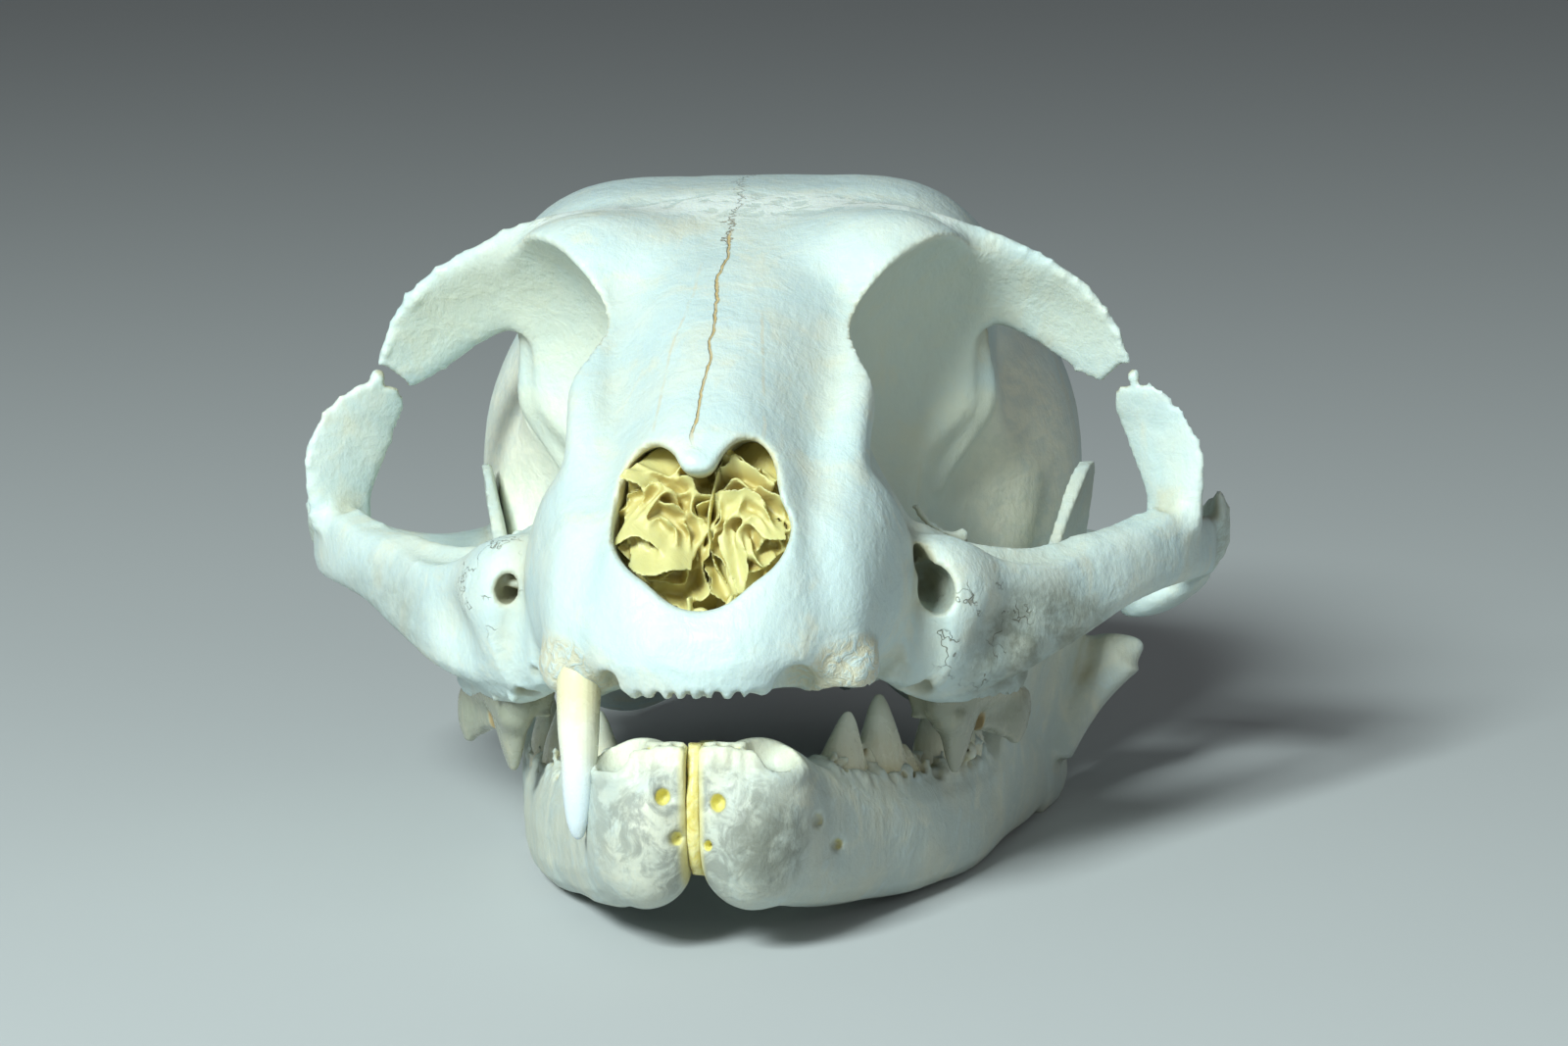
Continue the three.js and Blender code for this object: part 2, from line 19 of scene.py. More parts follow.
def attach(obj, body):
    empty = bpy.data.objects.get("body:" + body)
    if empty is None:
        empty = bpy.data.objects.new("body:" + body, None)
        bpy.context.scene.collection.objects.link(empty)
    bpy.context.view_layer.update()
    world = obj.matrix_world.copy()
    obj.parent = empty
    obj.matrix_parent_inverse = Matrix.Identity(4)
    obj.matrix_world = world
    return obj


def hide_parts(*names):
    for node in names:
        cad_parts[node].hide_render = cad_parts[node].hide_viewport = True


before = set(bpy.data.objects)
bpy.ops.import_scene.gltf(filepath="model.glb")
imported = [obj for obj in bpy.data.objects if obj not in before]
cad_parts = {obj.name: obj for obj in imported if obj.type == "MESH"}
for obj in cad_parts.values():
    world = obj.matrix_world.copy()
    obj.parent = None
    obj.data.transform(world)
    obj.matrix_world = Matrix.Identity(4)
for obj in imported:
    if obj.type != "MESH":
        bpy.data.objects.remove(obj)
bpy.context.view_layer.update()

# %% [markdown]
# The level skull has its zero at the front tip of the upper jaw and at the rims of the upper tooth
# sockets. Three numbers bring it into the frame: the angle that it leans back by when it stands on its
# jaw, and two distances. The lower jaw is loose, so it is seated a little turned, as bones without their
# muscles lie.

# %% Seats
MM = 0.001
LEAN = math.radians(9.24)
FLOOR_DROP = 18.45
MIDDLE_BACK = 44.78
JAW_SWING = math.radians(2.5)
JAW_SHIFT = -0.8
IN_HEAD = (
    Matrix.Scale(MM, 4)
    @ Matrix.Translation((0, -MIDDLE_BACK, FLOOR_DROP))
    @ Matrix.Rotation(-LEAN, 4, "X")
)
IN_JAW = IN_HEAD @ Matrix.Translation((JAW_SHIFT, 0, 0)) @ Matrix.Rotation(-JAW_SWING, 4, "Z")
SIDES = {"left": 1, "right": -1}

# %% [markdown]
# ## Forms
# Three kinds of form make nearly every bone. An egg is an icosphere pulled to three radii. A bar is a
# row of rings bridged into a bent beam or plate. A hull is a row of soft-cornered sections from front to
# back. Each is a closed bmesh, so the same form can be laid on as clay or pressed in as a hollow.

# %% Reading a row of stations as smooth curves
def smooth_reader(stations):
    rows = np.array(stations, dtype=float)
    padded = np.vstack([2 * rows[0] - rows[1], rows, 2 * rows[-1] - rows[-2]])

    def read(t):
        place = min(max(t, 0.0), 1.0) * (len(rows) - 1)
        i = min(int(place), len(rows) - 2)
        u = place - i
        a, b, c, d = padded[i : i + 4]
        straight = 2 * b + (c - a) * u
        return 0.5 * (straight + (2 * a - 5 * b + 4 * c - d) * u**2 + (3 * b - a - 3 * c + d) * u**3)

    return read


def squared(value, power):
    return math.copysign(abs(value) ** (2 / power), value)

# %% Egg, and a handful of small ones
def egg(at, radii, turn=(0, 0, 0), side=1, detail=4, into=None):
    x, y, z = at
    turned = Euler([math.radians(a) for a in (turn[0], side * turn[1], side * turn[2])])
    turn_by = turned.to_matrix().to_4x4()
    place = Matrix.Translation((side * x, y, z)) @ turn_by @ Matrix.Diagonal((*radii, 1))
    form = into or bmesh.new()
    bmesh.ops.create_icosphere(form, subdivisions=detail, radius=1, matrix=place)
    return form


def crumbs(points, size, draw, shift=0.25, flat=1.0):
    """Small uneven eggs at the given points, all in one form."""
    form = bmesh.new()
    for point in points:
        radius = size * draw.uniform(0.65, 1.3)
        at = [value + draw.gauss(0, size * shift) for value in point]
        radii = (radius, radius * draw.uniform(0.8, 1.25), radius * flat * draw.uniform(0.8, 1.25))
        egg(at, radii, [draw.uniform(-40, 40) for _ in range(3)], detail=2, into=form)
    return form

# %% Rings bridged into one closed form
def bridged(place_ring, steps, sides):
    form = bmesh.new()
    last = None
    for i in range(steps + 1):
        ring = bmesh.ops.create_circle(form, segments=sides, radius=1)["verts"]
        edges = list({edge for vert in ring for edge in vert.link_edges})
        place_ring(i / steps, ring)
        if last:
            bmesh.ops.bridge_loops(form, edges=last + edges)
        last = edges
    bmesh.ops.holes_fill(form, edges=form.edges, sides=0)
    return form

# %% Bar and hull
def bar(stations, side=1, steps=20, sides=16, square=2.4):
    """Each station is a centre, the arm to one flat edge, and half the thickness across it."""
    read = smooth_reader(stations)

    def place_ring(t, ring):
        numbers = read(t)
        centre, arm = Vector(numbers[:3]), Vector(numbers[3:6])
        along = Vector(read(t + 0.02)[:3] - read(t - 0.02)[:3])
        across = along.cross(arm).normalized() * numbers[6]
        for vert in ring:
            point = centre + arm * squared(vert.co.x, square) + across * squared(vert.co.y, square)
            vert.co = (side * point.x, point.y, point.z)

    return bridged(place_ring, steps, sides)


def hull(stations, steps=40, sides=48, square=3.0):
    """Each station is y, bottom, top, and the half widths near the bottom and near the top."""
    read = smooth_reader(stations)

    def place_ring(t, ring):
        y, low, high, half_low, half_high = read(t)
        for vert in ring:
            up = (squared(vert.co.y, square) + 1) / 2
            half = half_low + (half_high - half_low) * up
            vert.co = (half * squared(vert.co.x, square), y, low + (high - low) * up)

    return bridged(place_ring, steps, sides)


def strand(points, side, half, steps=24):
    """A thin round bar through a few points."""
    return bar([(x, y, z, 0, half, 0, half) for x, y, z in points], side, steps, sides=10, square=2)


def edge_of(stations, side, count, start=0.0, end=1.0, share=0.95):
    """Points along one flat edge of a bar."""
    read = smooth_reader(stations)
    points = []
    for i in range(count):
        numbers = read(start + (end - start) * i / (count - 1))
        x, y, z = numbers[:3] + numbers[3:6] * share
        points.append((side * x, y, z))
    return points

# %% [markdown]
# ## Clay
# Joining dozens of forms with booleans leaves hard creases, and bone has none. A signed distance field
# is the better clay: each cell of a grid holds how far it is from the surface, forms are joined by a
# smooth minimum that fills the crease with a fillet of any chosen width, and hollows are pressed in by
# the same rule turned round. Blender's own volume library turns a mesh into such a field and the
# finished field back into a mesh.

# %% Soft lumps
def soft_noise(shape, step, seed):
    """Smooth values from -1 to 1 on a grid; step is the number of cells from one lump to the next."""
    draw = np.random.default_rng(seed)
    values = draw.uniform(-1, 1, [int(count / step) + 3 for count in shape]).astype(np.float32)
    for axis, count in enumerate(shape):
        place = np.arange(count) / step
        low = place.astype(int)
        share = (place - low).astype(np.float32)
        share = (share * share * (3 - 2 * share)).reshape([-1 if a == axis else 1 for a in range(3)])
        values = np.take(values, low, axis) * (1 - share) + np.take(values, low + 1, axis) * share
    return values

# %% Clay
FINE = 1.0
REACH = 3.6


class Clay:
    def __init__(self, low, high, cell):
        self.cell = cell * FINE
        self.low = np.floor(np.array(low) / self.cell).astype(int)
        self.size = np.ceil(np.array(high) / self.cell).astype(int) - self.low + 1
        self.field = np.full(self.size, REACH, dtype=np.float32)
        self.place = vdb.createLinearTransform(voxelSize=self.cell)

    def _patch(self, form, reach):
        """The form's distances in the part of the grid that it reaches, and where that part is."""
        bmesh.ops.triangulate(form, faces=form.faces)
        points = np.array([vert.co for vert in form.verts], dtype=np.float32)
        corners = np.array([[vert.index for vert in face.verts] for face in form.faces], dtype=np.uint32)
        form.free()
        grid = vdb.FloatGrid.createLevelSetFromPolygons(
            points, triangles=corners, transform=self.place, halfWidth=reach / self.cell
        )
        low, high = (np.array(corner) for corner in grid.evalActiveVoxelBoundingBox())
        low = np.maximum(low, self.low)
        high = np.minimum(high, self.low + self.size - 1)
        patch = np.empty(high - low + 1, dtype=np.float32)
        grid.copyToArray(patch, ijk=tuple(int(v) for v in low))
        patch[patch > 0.99 * reach] = REACH
        start = low - self.low
        return patch, tuple(slice(a, a + n) for a, n in zip(start, patch.shape))

    @staticmethod
    def _melt(a, b, width):
        near = np.maximum(width - np.abs(a - b), 0) / width
        return np.minimum(a, b) - near * near * width / 4

    def add(self, form, width=1.0, reach=REACH):
        patch, where = self._patch(form, reach)
        self.field[where] = self._melt(self.field[where], patch, width)

    def press(self, form, width=0.5, reach=REACH):
        patch, where = self._patch(form, reach)
        self.field[where] = -self._melt(-self.field[where], patch, width)

    def lumps(self, size, depth, seed, at=None, around=None):
        """Raise and sink the surface softly, everywhere or around one place only."""
        where = tuple(slice(0, int(count)) for count in self.size)
        fade = 1.0
        if at:
            middle = np.array(at) / self.cell - self.low
            spread = np.array(around) / self.cell
            low = np.clip(np.floor(middle - 2 * spread), 0, self.size - 1).astype(int)
            high = np.clip(np.ceil(middle + 2 * spread), low + 1, self.size).astype(int)
            where = tuple(slice(a, b) for a, b in zip(low, high))
            far = sum(((axis - m) / s) ** 2 for axis, m, s in zip(np.ogrid[where], middle, spread))
            fade = np.exp(-1.2 * far).astype(np.float32)
        shape = [part.stop - part.start for part in where]
        self.field[where] += depth * fade * soft_noise(shape, size / self.cell, seed)

    def distance(self, points):
        """Distance to the surface at each point, read between the cells."""
        place = points / self.cell - self.low
        base = np.clip(np.floor(place).astype(int), 0, self.size - 2)
        share = np.clip(place - base, 0, 1)
        total = np.zeros(len(points))
        for corner in np.ndindex(2, 2, 2):
            weight = np.prod(np.where(corner, share, 1 - share), axis=1)
            x, y, z = (base + corner).T
            total += weight * self.field[x, y, z]
        return total

    def settled(self, points, inset=0.0):
        """Move points onto the surface, or as far under it as inset says."""
        places = np.array(points, dtype=float)
        steps = np.eye(3) * self.cell
        for _ in range(6):
            rises = [self.distance(places + step) - self.distance(places - step) for step in steps]
            slope = np.array(rises).T
            slope /= np.maximum(np.linalg.norm(slope, axis=1, keepdims=True), 1e-6)
            places -= slope * (self.distance(places) + inset)[:, None] * 0.8
        return places.tolist()

    def skin(self, name, most_faces):
        """The surface as a new object, thinned to a number of triangles, still in millimetres."""
        grid = vdb.FloatGrid()
        grid.transform = self.place
        grid.copyFromArray(self.field, ijk=tuple(int(v) for v in self.low))
        points, quads = grid.convertToQuads(isovalue=0.0)
        mesh = bpy.data.meshes.new(name)
        mesh.from_pydata(points.tolist(), [], quads[:, ::-1].tolist())
        piece = bpy.data.objects.new(name, mesh)
        bpy.context.scene.collection.objects.link(piece)
        share = most_faces / (2 * len(quads))
        if share < 1:
            thin = piece.modifiers.new("thin", "DECIMATE")
            thin.ratio = share
            apply_modifiers(piece)
        drop_crumbs(piece)
        hollowness(piece, self)
        print(name, len(quads), "quads from the cells,", len(piece.data.polygons), "faces kept")
        return piece

# %% [markdown]
# The finished skin may leave a few loose specks where noise crosses the surface, so parts of a few faces
# are dropped. Each point then gets a number that says how sunken it lies. It is read from the same clay, by
# asking how soon a step away from the surface meets bone again. The finishes use it to paint shade into the
# hollows, darker and warmer, and to yellow the small holes in the chin.

# %% Skin helpers
SPECK = 60


def apply_modifiers(piece):
    shown = bpy.context.evaluated_depsgraph_get()
    finished = bpy.data.meshes.new_from_object(piece.evaluated_get(shown))
    piece.modifiers.clear()
    piece.data = finished
    piece.data.name = piece.name


def drop_crumbs(piece):
    form = bmesh.new()
    form.from_mesh(piece.data)
    form.verts.ensure_lookup_table()
    seen = set()
    loose = []
    for vert in form.verts:
        if vert.index in seen:
            continue
        group, edge_of_group = [vert], [vert]
        seen.add(vert.index)
        while edge_of_group:
            for edge in edge_of_group.pop().link_edges:
                for other in edge.verts:
                    if other.index not in seen:
                        seen.add(other.index)
                        group.append(other)
                        edge_of_group.append(other)
        if len(group) < SPECK:
            loose += group
    bmesh.ops.delete(form, geom=loose, context="VERTS")
    bmesh.ops.triangulate(form, faces=form.faces)
    if form.calc_volume(signed=True) < 0:
        bmesh.ops.reverse_faces(form, faces=form.faces)
    form.to_mesh(piece.data)
    form.free()


def numbers_of(piece, kind):
    count = len(piece.data.vertices)
    values = np.empty(count * 3, dtype=np.float32)
    source = piece.data.vertices if kind == "co" else piece.data.vertex_normals
    source.foreach_get("co" if kind == "co" else "vector", values)
    return values.reshape(-1, 3)


def keep_number(piece, name, values):
    layer = piece.data.attributes.new(name, "FLOAT", "POINT")
    layer.data.foreach_set("value", np.ascontiguousarray(values, dtype=np.float32))


def hollowness(piece, clay):
    points, outwards = numbers_of(piece, "co"), numbers_of(piece, "normal")
    steps = (0.5, 1.3, 2.8)
    sunk = sum(np.clip(1 - clay.distance(points + outwards * step) / step, 0, 1.4) for step in steps) / 3
    keep_number(piece, "sunk", sunk)
    keep_number(piece, "thin", np.clip(1 + clay.distance(points - outwards * 1.6) / 1.6, 0, 1))


def seated(piece, seat, slot, *nodes):
    piece.data.transform(seat)
    piece.data.shade_smooth()
    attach(piece, "root")
    if nodes:
        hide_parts(*nodes)

# %% [markdown]
# ## The cranium, from the nose to the vault
# The upper skull starts as one long hull: the snout, the brow and the front of the roof. The vault over
# the brain is an egg with its underside cut level, laid on with a wide fillet, because in the real bone
# no line parts the two.

# %% Snout, brow and vault
FACE_AND_BROW = [
    (0.0, 1.2, 3.4, 3.0, 2.4),
    (0.8, 0.5, 5.0, 5.0, 4.0),
    (3.0, -0.4, 11.2, 8.4, 5.4),
    (6.0, -0.6, 16.2, 10.7, 4.6),
    (12.0, -1.0, 21.0, 13.2, 5.2),
    (18.0, -1.4, 25.0, 15.6, 6.8),
    (24.0, -1.4, 28.2, 17.2, 9.6),
    (30.0, -0.6, 30.8, 16.0, 15.0),
    (36.0, 1.5, 33.2, 11.0, 18.4),
    (42.0, 4.0, 34.8, 9.5, 18.2),
    (50.0, 4.5, 35.8, 12.0, 16.2),
    (58.0, 6.0, 35.4, 12.0, 13.0),
    (66.0, 9.0, 33.0, 9.0, 7.0),
]
VAULT = {"at": (0, 63, 15.4), "radii": (22.4, 24, 20.1)}
VAULT_FLOOR = 4.0


def vault(form_floor):
    form = egg(VAULT["at"], VAULT["radii"], detail=5)
    everything = form.verts[:] + form.edges[:] + form.faces[:]
    cut = bmesh.ops.bisect_plane(
        form, geom=everything, plane_co=(0, 0, form_floor), plane_no=(0, 0, -1), clear_outer=True
    )
    edges = [part for part in cut["geom_cut"] if isinstance(part, bmesh.types.BMEdge)]
    bmesh.ops.holes_fill(form, edges=edges, sides=0)
    return form


head = Clay((-36, -3, -9), (36, 92, 40), 0.29)
head.add(hull(FACE_AND_BROW, square=2.8))
head.add(vault(VAULT_FLOOR), width=3.0)
head.add(egg((9.6, 49, 27.6), (7.6, 13, 6.9), (-3, 8, 0), 1), width=3.0)
head.add(egg((10.6, 49, 27.9), (7.8, 13, 7.0), (-3, 6, 0), -1), width=3.0)
print("head's clay", head.size)

# %% [markdown]
# The low dome over each frontal sinus, the swelling over each canine tooth's root and the strut from
# that root up to the eye socket give the face its planes. They are eggs and bars with wide fillets.

# %% Planes of the face
for side in SIDES.values():
    head.add(egg((8.2, 8.2, 5.4), (2.6, 3.6, 5.6), side=side), width=2.0)
    head.add(
        bar([(8.0, 9, 9, 1.3, 0, 0, 1.6), (8.8, 14, 16, 1.3, 0, 0, 1.6), (9.4, 21, 22, 1.2, 0, 0, 1.5),
             (10.2, 26, 27, 1.0, 0, 0, 1.2)], side),
        width=2.5,
    )
    head.add(egg((10, 33, 26), (7.5, 8, 5.6), (-20, 0, 0), side), width=3.0)
    head.add(egg((10.2, 13.0, 7.4), (2.1, 4.4, 5.2), (-10, 0, -14), side), width=3.0)
    head.add(egg((14.4, 19.6, 6.0), (2.9, 3.3, 3.3), (0, -12, 0), side), width=1.8)

# %% [markdown]
# ## Cheekbone arches
# Each arch is two bones that overlap: one comes from the upper jaw, the other from beside the ear, and
# its tip stands a little proud of the first. Two bars with a narrow fillet keep that step. The plates
# above and below the gap in the eye's ring are flat bars.

# %% Arch, cheek plate and brow plate
CHEEK = [
    (13.6, 18.0, 4.2, 0, 0, 4.4, 2.2),
    (18.0, 23.4, 4.2, 0, 0, 4.5, 2.2),
    (22.2, 29.3, 5.5, 0, 0, 3.4, 1.9),
    (26.2, 34.6, 7.5, 0, 0, 2.6, 1.7),
    (29.7, 40.3, 9.1, 0, 0, 2.8, 1.4),
    (31.4, 46.6, 9.2, 0, 0, 2.4, 1.1),
    (31.4, 51.5, 8.8, 0, 0, 1.4, 0.8),
]
EAR_BRANCH = [
    (32.6, 46.6, 11.7, 0, 0, 1.2, 0.45),
    (32.4, 49.5, 10.4, 0, 0, 2.1, 0.9),
    (31.5, 53.0, 9.2, 0, 0, 2.6, 1.1),
    (28.6, 57.4, 7.8, 0, 0, 2.4, 1.9),
    (24.0, 60.0, 7.4, 0, 0, 2.4, 2.8),
    (18.5, 61.5, 8.0, 0, 0, 3.2, 3.4),
]
CHEEK_PLATE = [
    (29.5, 40.5, 10.4, 1.7, -1.5, -0.1, 0.85),
    (29.6, 40.2, 12.7, 1.9, -1.7, 0.1, 0.75),
    (29.2, 40.0, 15.0, 2.45, -1.8, 0.1, 0.62),
    (28.4, 39.9, 17.1, 2.5, -1.8, 0.2, 0.55),
    (27.4, 39.7, 18.8, 2.2, -1.4, 0.2, 0.5),
    (26.8, 39.5, 19.8, 1.5, -0.9, 0.1, 0.46),
    (26.5, 39.4, 20.2, 0.8, -0.4, 0.0, 0.42),
]
BROW_PLATE = [
    (9.0, 36.5, 28.5, 0.6, -3.4, 2.5, 1.7),
    (14.8, 36.9, 28.2, 0.6, -2.7, 2.9, 1.1),
    (18.5, 37.9, 27.0, 1.1, -2.4, 2.5, 0.85),
    (21.0, 38.5, 25.6, 1.35, -2.3, 2.2, 0.7),
    (22.9, 38.9, 24.1, 1.4, -2.0, 1.95, 0.6),
    (24.3, 39.1, 22.5, 1.35, -1.5, 1.35, 0.5),
    (25.4, 39.2, 21.1, 0.95, -0.9, 0.8, 0.44),
]
EYE_SOCKET = {"at": (18.6, 27, 19.3), "radii": (12.2, 13.5, 11.5)}
TOOTH_RIM = [
    (11.0, 15.5, 2.4, 0, 0, 2.4, 1.6),
    (13.8, 20.5, 1.6, 0, 0, 3.2, 2.2),
    (16.2, 26.0, 1.5, 0, 0, 3.4, 2.4),
    (17.7, 31.0, 1.2, 0, 0, 3.1, 2.2),
    (17.8, 35.0, 1.6, 0, 0, 2.2, 1.6),
]
for side in SIDES.values():
    head.add(bar(CHEEK, side, steps=30, square=2.6), width=3.0)
    head.add(bar(EAR_BRANCH, side, steps=30, square=2.4), width=0.4)
    head.add(egg((28.4, 57.2, 5.3), (4.0, 2.2, 1.25), (0, -26, 0), side), width=0.8)
    head.press(egg((21.4, 19.2, 3.6), (4.6, 3.6, 2.5), (0, -26, 34), side), width=1.6)
    head.add(bar(TOOTH_RIM, side), width=1.5)

# %% [markdown]
# ## Eye sockets
# The socket is pressed in as one large egg, with a second one behind it that runs back and inwards to
# the nerve's holes. The brow and cheek plates go on afterwards, as the outer part of the ring. Between
# their tips a gap of half a millimetre stays open, so the plates get a very narrow fillet and only their
# roots a wide one.

# %% Sockets and plates
for side in SIDES.values():
    head.add(egg((8.6, 45.0, 18.5), (8.4, 7.5, 11.5), side=side), width=2.5)
    head.add(egg((11.4, 49.0, 10.5), (7.6, 9.5, 8.0), side=side), width=2.5)
    head.press(egg(EYE_SOCKET["at"], EYE_SOCKET["radii"], side=side, detail=5), width=0.7)
    head.press(egg((21.4, 41.0, 12.0), (7.8, 13.0, 7.6), (0, 0, -37), side), width=1.6)
    head.add(bar(CHEEK_PLATE[:4], side, steps=20), width=1.6)
    head.add(bar(BROW_PLATE[:4], side, steps=24), width=2.2)
    head.add(bar(CHEEK_PLATE, side, steps=30, square=2.8), width=0.2)
    head.add(bar(BROW_PLATE, side, steps=34, square=3.0), width=0.2)
    head.press(egg(EYE_SOCKET["at"], EYE_SOCKET["radii"], side=side, detail=5), width=0.5)
    head.add(strand([(13.0, 21.6, 9.4), (17.2, 24.8, 8.3), (21.4, 29.6, 8.2), (25.2, 34.6, 9.2),
                     (28.4, 38.8, 10.7)],
                    side, 0.85), width=1.8)
    head.add(egg((26.75, 39.3, 20.75), (0.6, 0.55, 0.75), side=side, detail=3), width=0.3, reach=1.5)

# %% [markdown]
# A sharp ridge climbs the side wall behind the socket, and beside it run two fine grooves. At the inner
# end of the lower rim a thin splint of the tear bone lies on the rim.

# %% Ridge behind the socket, and the splint
RIDGE = [(13.6, 41.0, 13.0), (15.4, 42.0, 16.4), (16.6, 42.2, 19.8), (17.1, 41.6, 23.6)]


for side in SIDES.values():
    for out, depth in ((0.0, 0.15), (1.0, -0.05), (1.9, -0.05)):
        line = head.settled([(side * (x + out), y + out * 0.8, z) for x, y, z in RIDGE], depth)
        if out:
            head.press(strand(line, 1, 0.2), 0.35, 1.5)
        else:
            head.add(strand(line, 1, 0.5), width=1.2, reach=2.5)
    head.add(strand([(12.1, 25.4, 11.9), (13.4, 26.6, 10.3), (15.6, 28.0, 9.3)], side, 0.4), width=0.3,
             reach=1.5)

# %% [markdown]
# ## Base and back of the skull
# Below the vault hang the two hearing capsules. At the back are the hole for the spinal cord, the two
# smooth knobs that turned on the neck, and a low crest of bone for the neck's muscles.

# %% Base and back
for side in SIDES.values():
    head.add(egg((12.3, 67.6, 3.2), (6.3, 9.8, 7.0), (0, 0, -14), side), width=1.2)
    head.add(egg((15.0, 77.0, 3.4), (2.6, 2.3, 4.2), (10, 0, 0), side), width=2.0)
    head.add(
        bar([(5.8, 34.0, 3.8, 0, 0, 3.6, 0.9), (5.7, 44.0, 3.4, 0, 0, 4.2, 0.75),
             (5.4, 52.0, 1.0, 0, 0.3, 2.6, 0.6),
             (5.6, 54.5, -0.8, 0, 0.3, 0.9, 0.4)], side),
        width=1.2,
    )
head.add(egg((0, 78.6, 12), (14.5, 8.6, 11.5), detail=5), width=3.0)
head.add(egg((0, 75.3, 12.6), (19.9, 1.2, 16.2), (-41, 0, 0), detail=5), width=3.0)
head.add(
    bar([(0, 62, 34.6, 0.9, 0, 0, 0.5), (0, 72, 33.4, 0.8, 0, 0, 0.9), (0, 80, 29.4, 0.8, 0, 0, 1.3),
         (0, 84.6, 25.2, 0.9, 0, 0, 1.0)]),
    width=2.5,
)
for side in SIDES.values():
    head.add(egg((5.8, 84.7, 6.4), (3.2, 5.0, 4.6), (-14, 0, -20), side), width=1.0)
    head.press(egg((20.5, 66.5, 6.0), (5.5, 2.3, 2.3), side=side), width=0.8)
    head.press(egg((22.2, 58.4, 1.2), (9.0, 3.1, 4.0), side=side), width=0.8)
    head.press(egg((8.8, 79.5, 2.8), (1.6, 3.4, 1.2), side=side), width=0.6)
    head.press(egg((8.2, 45.5, 9.6), (1.0, 4.0, 0.9), (0, 0, 30), side), width=0.4)
    head.press(egg((9.0, 48.5, 7.4), (1.0, 4.0, 1.4), (0, 0, 30), side), width=0.4)
head.press(egg((0, 84, 9.2), (5.6, 14, 4.6), (-10, 0, 0)), width=0.8)
head.press(egg((0, 70, 12.5), (8, 14, 8)), width=1.5)

# %% [markdown]
# ## The nose and the canals beside it
# The nose opening is heart-shaped: one lobe on each side of the tips of the two nasal bones, and a point
# below. Four eggs, pressed in together, give that outline and the passage behind it.
# Beside it a pear-shaped canal runs back under each eye. The right one is smaller, and a short thread of
# bone reaches into it.

# %% Nose opening and cheek canals
NOSE = {"at": (0, 8, 9.7), "radii": (5.9, 14.5, 4.2)}
NOSE_PARTS = [(NOSE["at"], NOSE["radii"]), ((0, 8, 7.7), (3.7, 12, 3.3)), ((2.5, 8, 11.8), (2.3, 11, 4.1)),
              ((-3.2, 8, 11.6), (2.5, 11, 3.9))]
for at, radii in NOSE_PARTS:
    head.press(egg(at, radii, detail=5), width=0.7)
head.press(egg((14.0, 17.2, 6.3), (1.25, 5.0, 1.65), (8, -10, 12)), width=0.2)
head.press(egg((13.2, 16.8, 7.9), (0.65, 4.6, 1.3), (8, -20, 12)), width=0.3)
head.press(egg((14.0, 17.4, 6.3), (1.0, 2.8, 1.25), (8, -10, 12), side=-1), width=0.3)
head.add(egg((-0.6, 6.9, 14.1), (0.8, 2.3, 0.5), (-12, 0, 0), detail=3), width=0.8, reach=2)
head.add(strand([(12.2, 16.9, 6.9), (13.6, 17.2, 6.5), (15.4, 18.0, 7.0)], -1, 0.36), width=0.4, reach=2)

# %% [markdown]
# ## Palate and tooth sockets
# The roof of the mouth is a shallow trough, and a passage runs back from it between two thin plates.
# Most teeth are lost, and their sockets stay open: six small ones in front, the left canine's, and those
# of the two small cheek teeth behind each canine. Small eggs pressed along the front edge leave it
# notched, as thin bone between sockets breaks.

# %% Palate and sockets
FRONT_NOTCHES = [
    (-4.9, 3.0, 0.7), (-3.8, 2.1, 0.4), (-2.6, 1.4, 0.5), (-1.6, 1.0, 0.3), (-0.6, 0.8, 0.4),
    (0.3, 0.8, 0.45), (1.25, 0.9, 0.5), (2.5, 1.3, 0.45), (3.5, 2.0, 0.6), (4.7, 2.9, 0.5),
]
head.press(egg((0, 19, -3.2), (9.5, 21, 4.2), detail=5), width=1.0)
head.press(egg((0, 47, 2.0), (4.4, 13, 4.6)), width=0.8)
head.add(
    bar([(-5.4, 3.8, 1.5, 0, 0, 0.9, 0.8), (-3.2, 1.8, 0.4, 0, 0, 1.0, 0.8), (0, 1.1, 0.1, 0, 0, 1.0, 0.8),
         (3.2, 1.8, 0.5, 0, 0, 1.0, 0.8), (5.2, 3.8, 1.9, 0, 0, 0.8, 0.8)]),
    width=1.2,
)
head.add(egg((8.6, 8.4, 1.2), (2.6, 2.9, 2.2), side=1), width=1.0)
head.add(egg((8.6, 8.4, 1.2), (2.4, 2.8, 2.0), side=-1), width=1.0)
head.press(egg((8.5, 8.3, -1.2), (1.8, 2.1, 5.2), (-8, 0, 0)), width=0.3)
head.press(egg((6.0, 3.8, 0.0), (1.35, 3.4, 1.5), (0, 10, 0)), width=0.3)
head.press(egg((5.9, 3.8, 0.0), (0.95, 3.2, 1.3), side=-1), width=0.3)
FRONT_LOBES = [(-4.3, 2.5, 1.2), (-3.3, 1.9, 0.7), (-2.0, 1.4, 1.1), (-0.8, 1.1, 0.8), (0.3, 1.0, 1.35),
               (1.5, 1.3, 0.75), (2.6, 1.8, 1.15), (4.0, 2.7, 0.9)]
for x, y, size in FRONT_LOBES:
    head.add(egg((x, y + 0.2, -0.1), (0.55 * size, 0.6, 0.5 * size), (-10, 0, 0), detail=3), width=0.6,
             reach=2)
for x, y, size in FRONT_NOTCHES:
    head.press(egg((x, y - 0.2, -0.85), (size * 0.7, 1.2, 0.7), detail=2), width=0.3, reach=2)
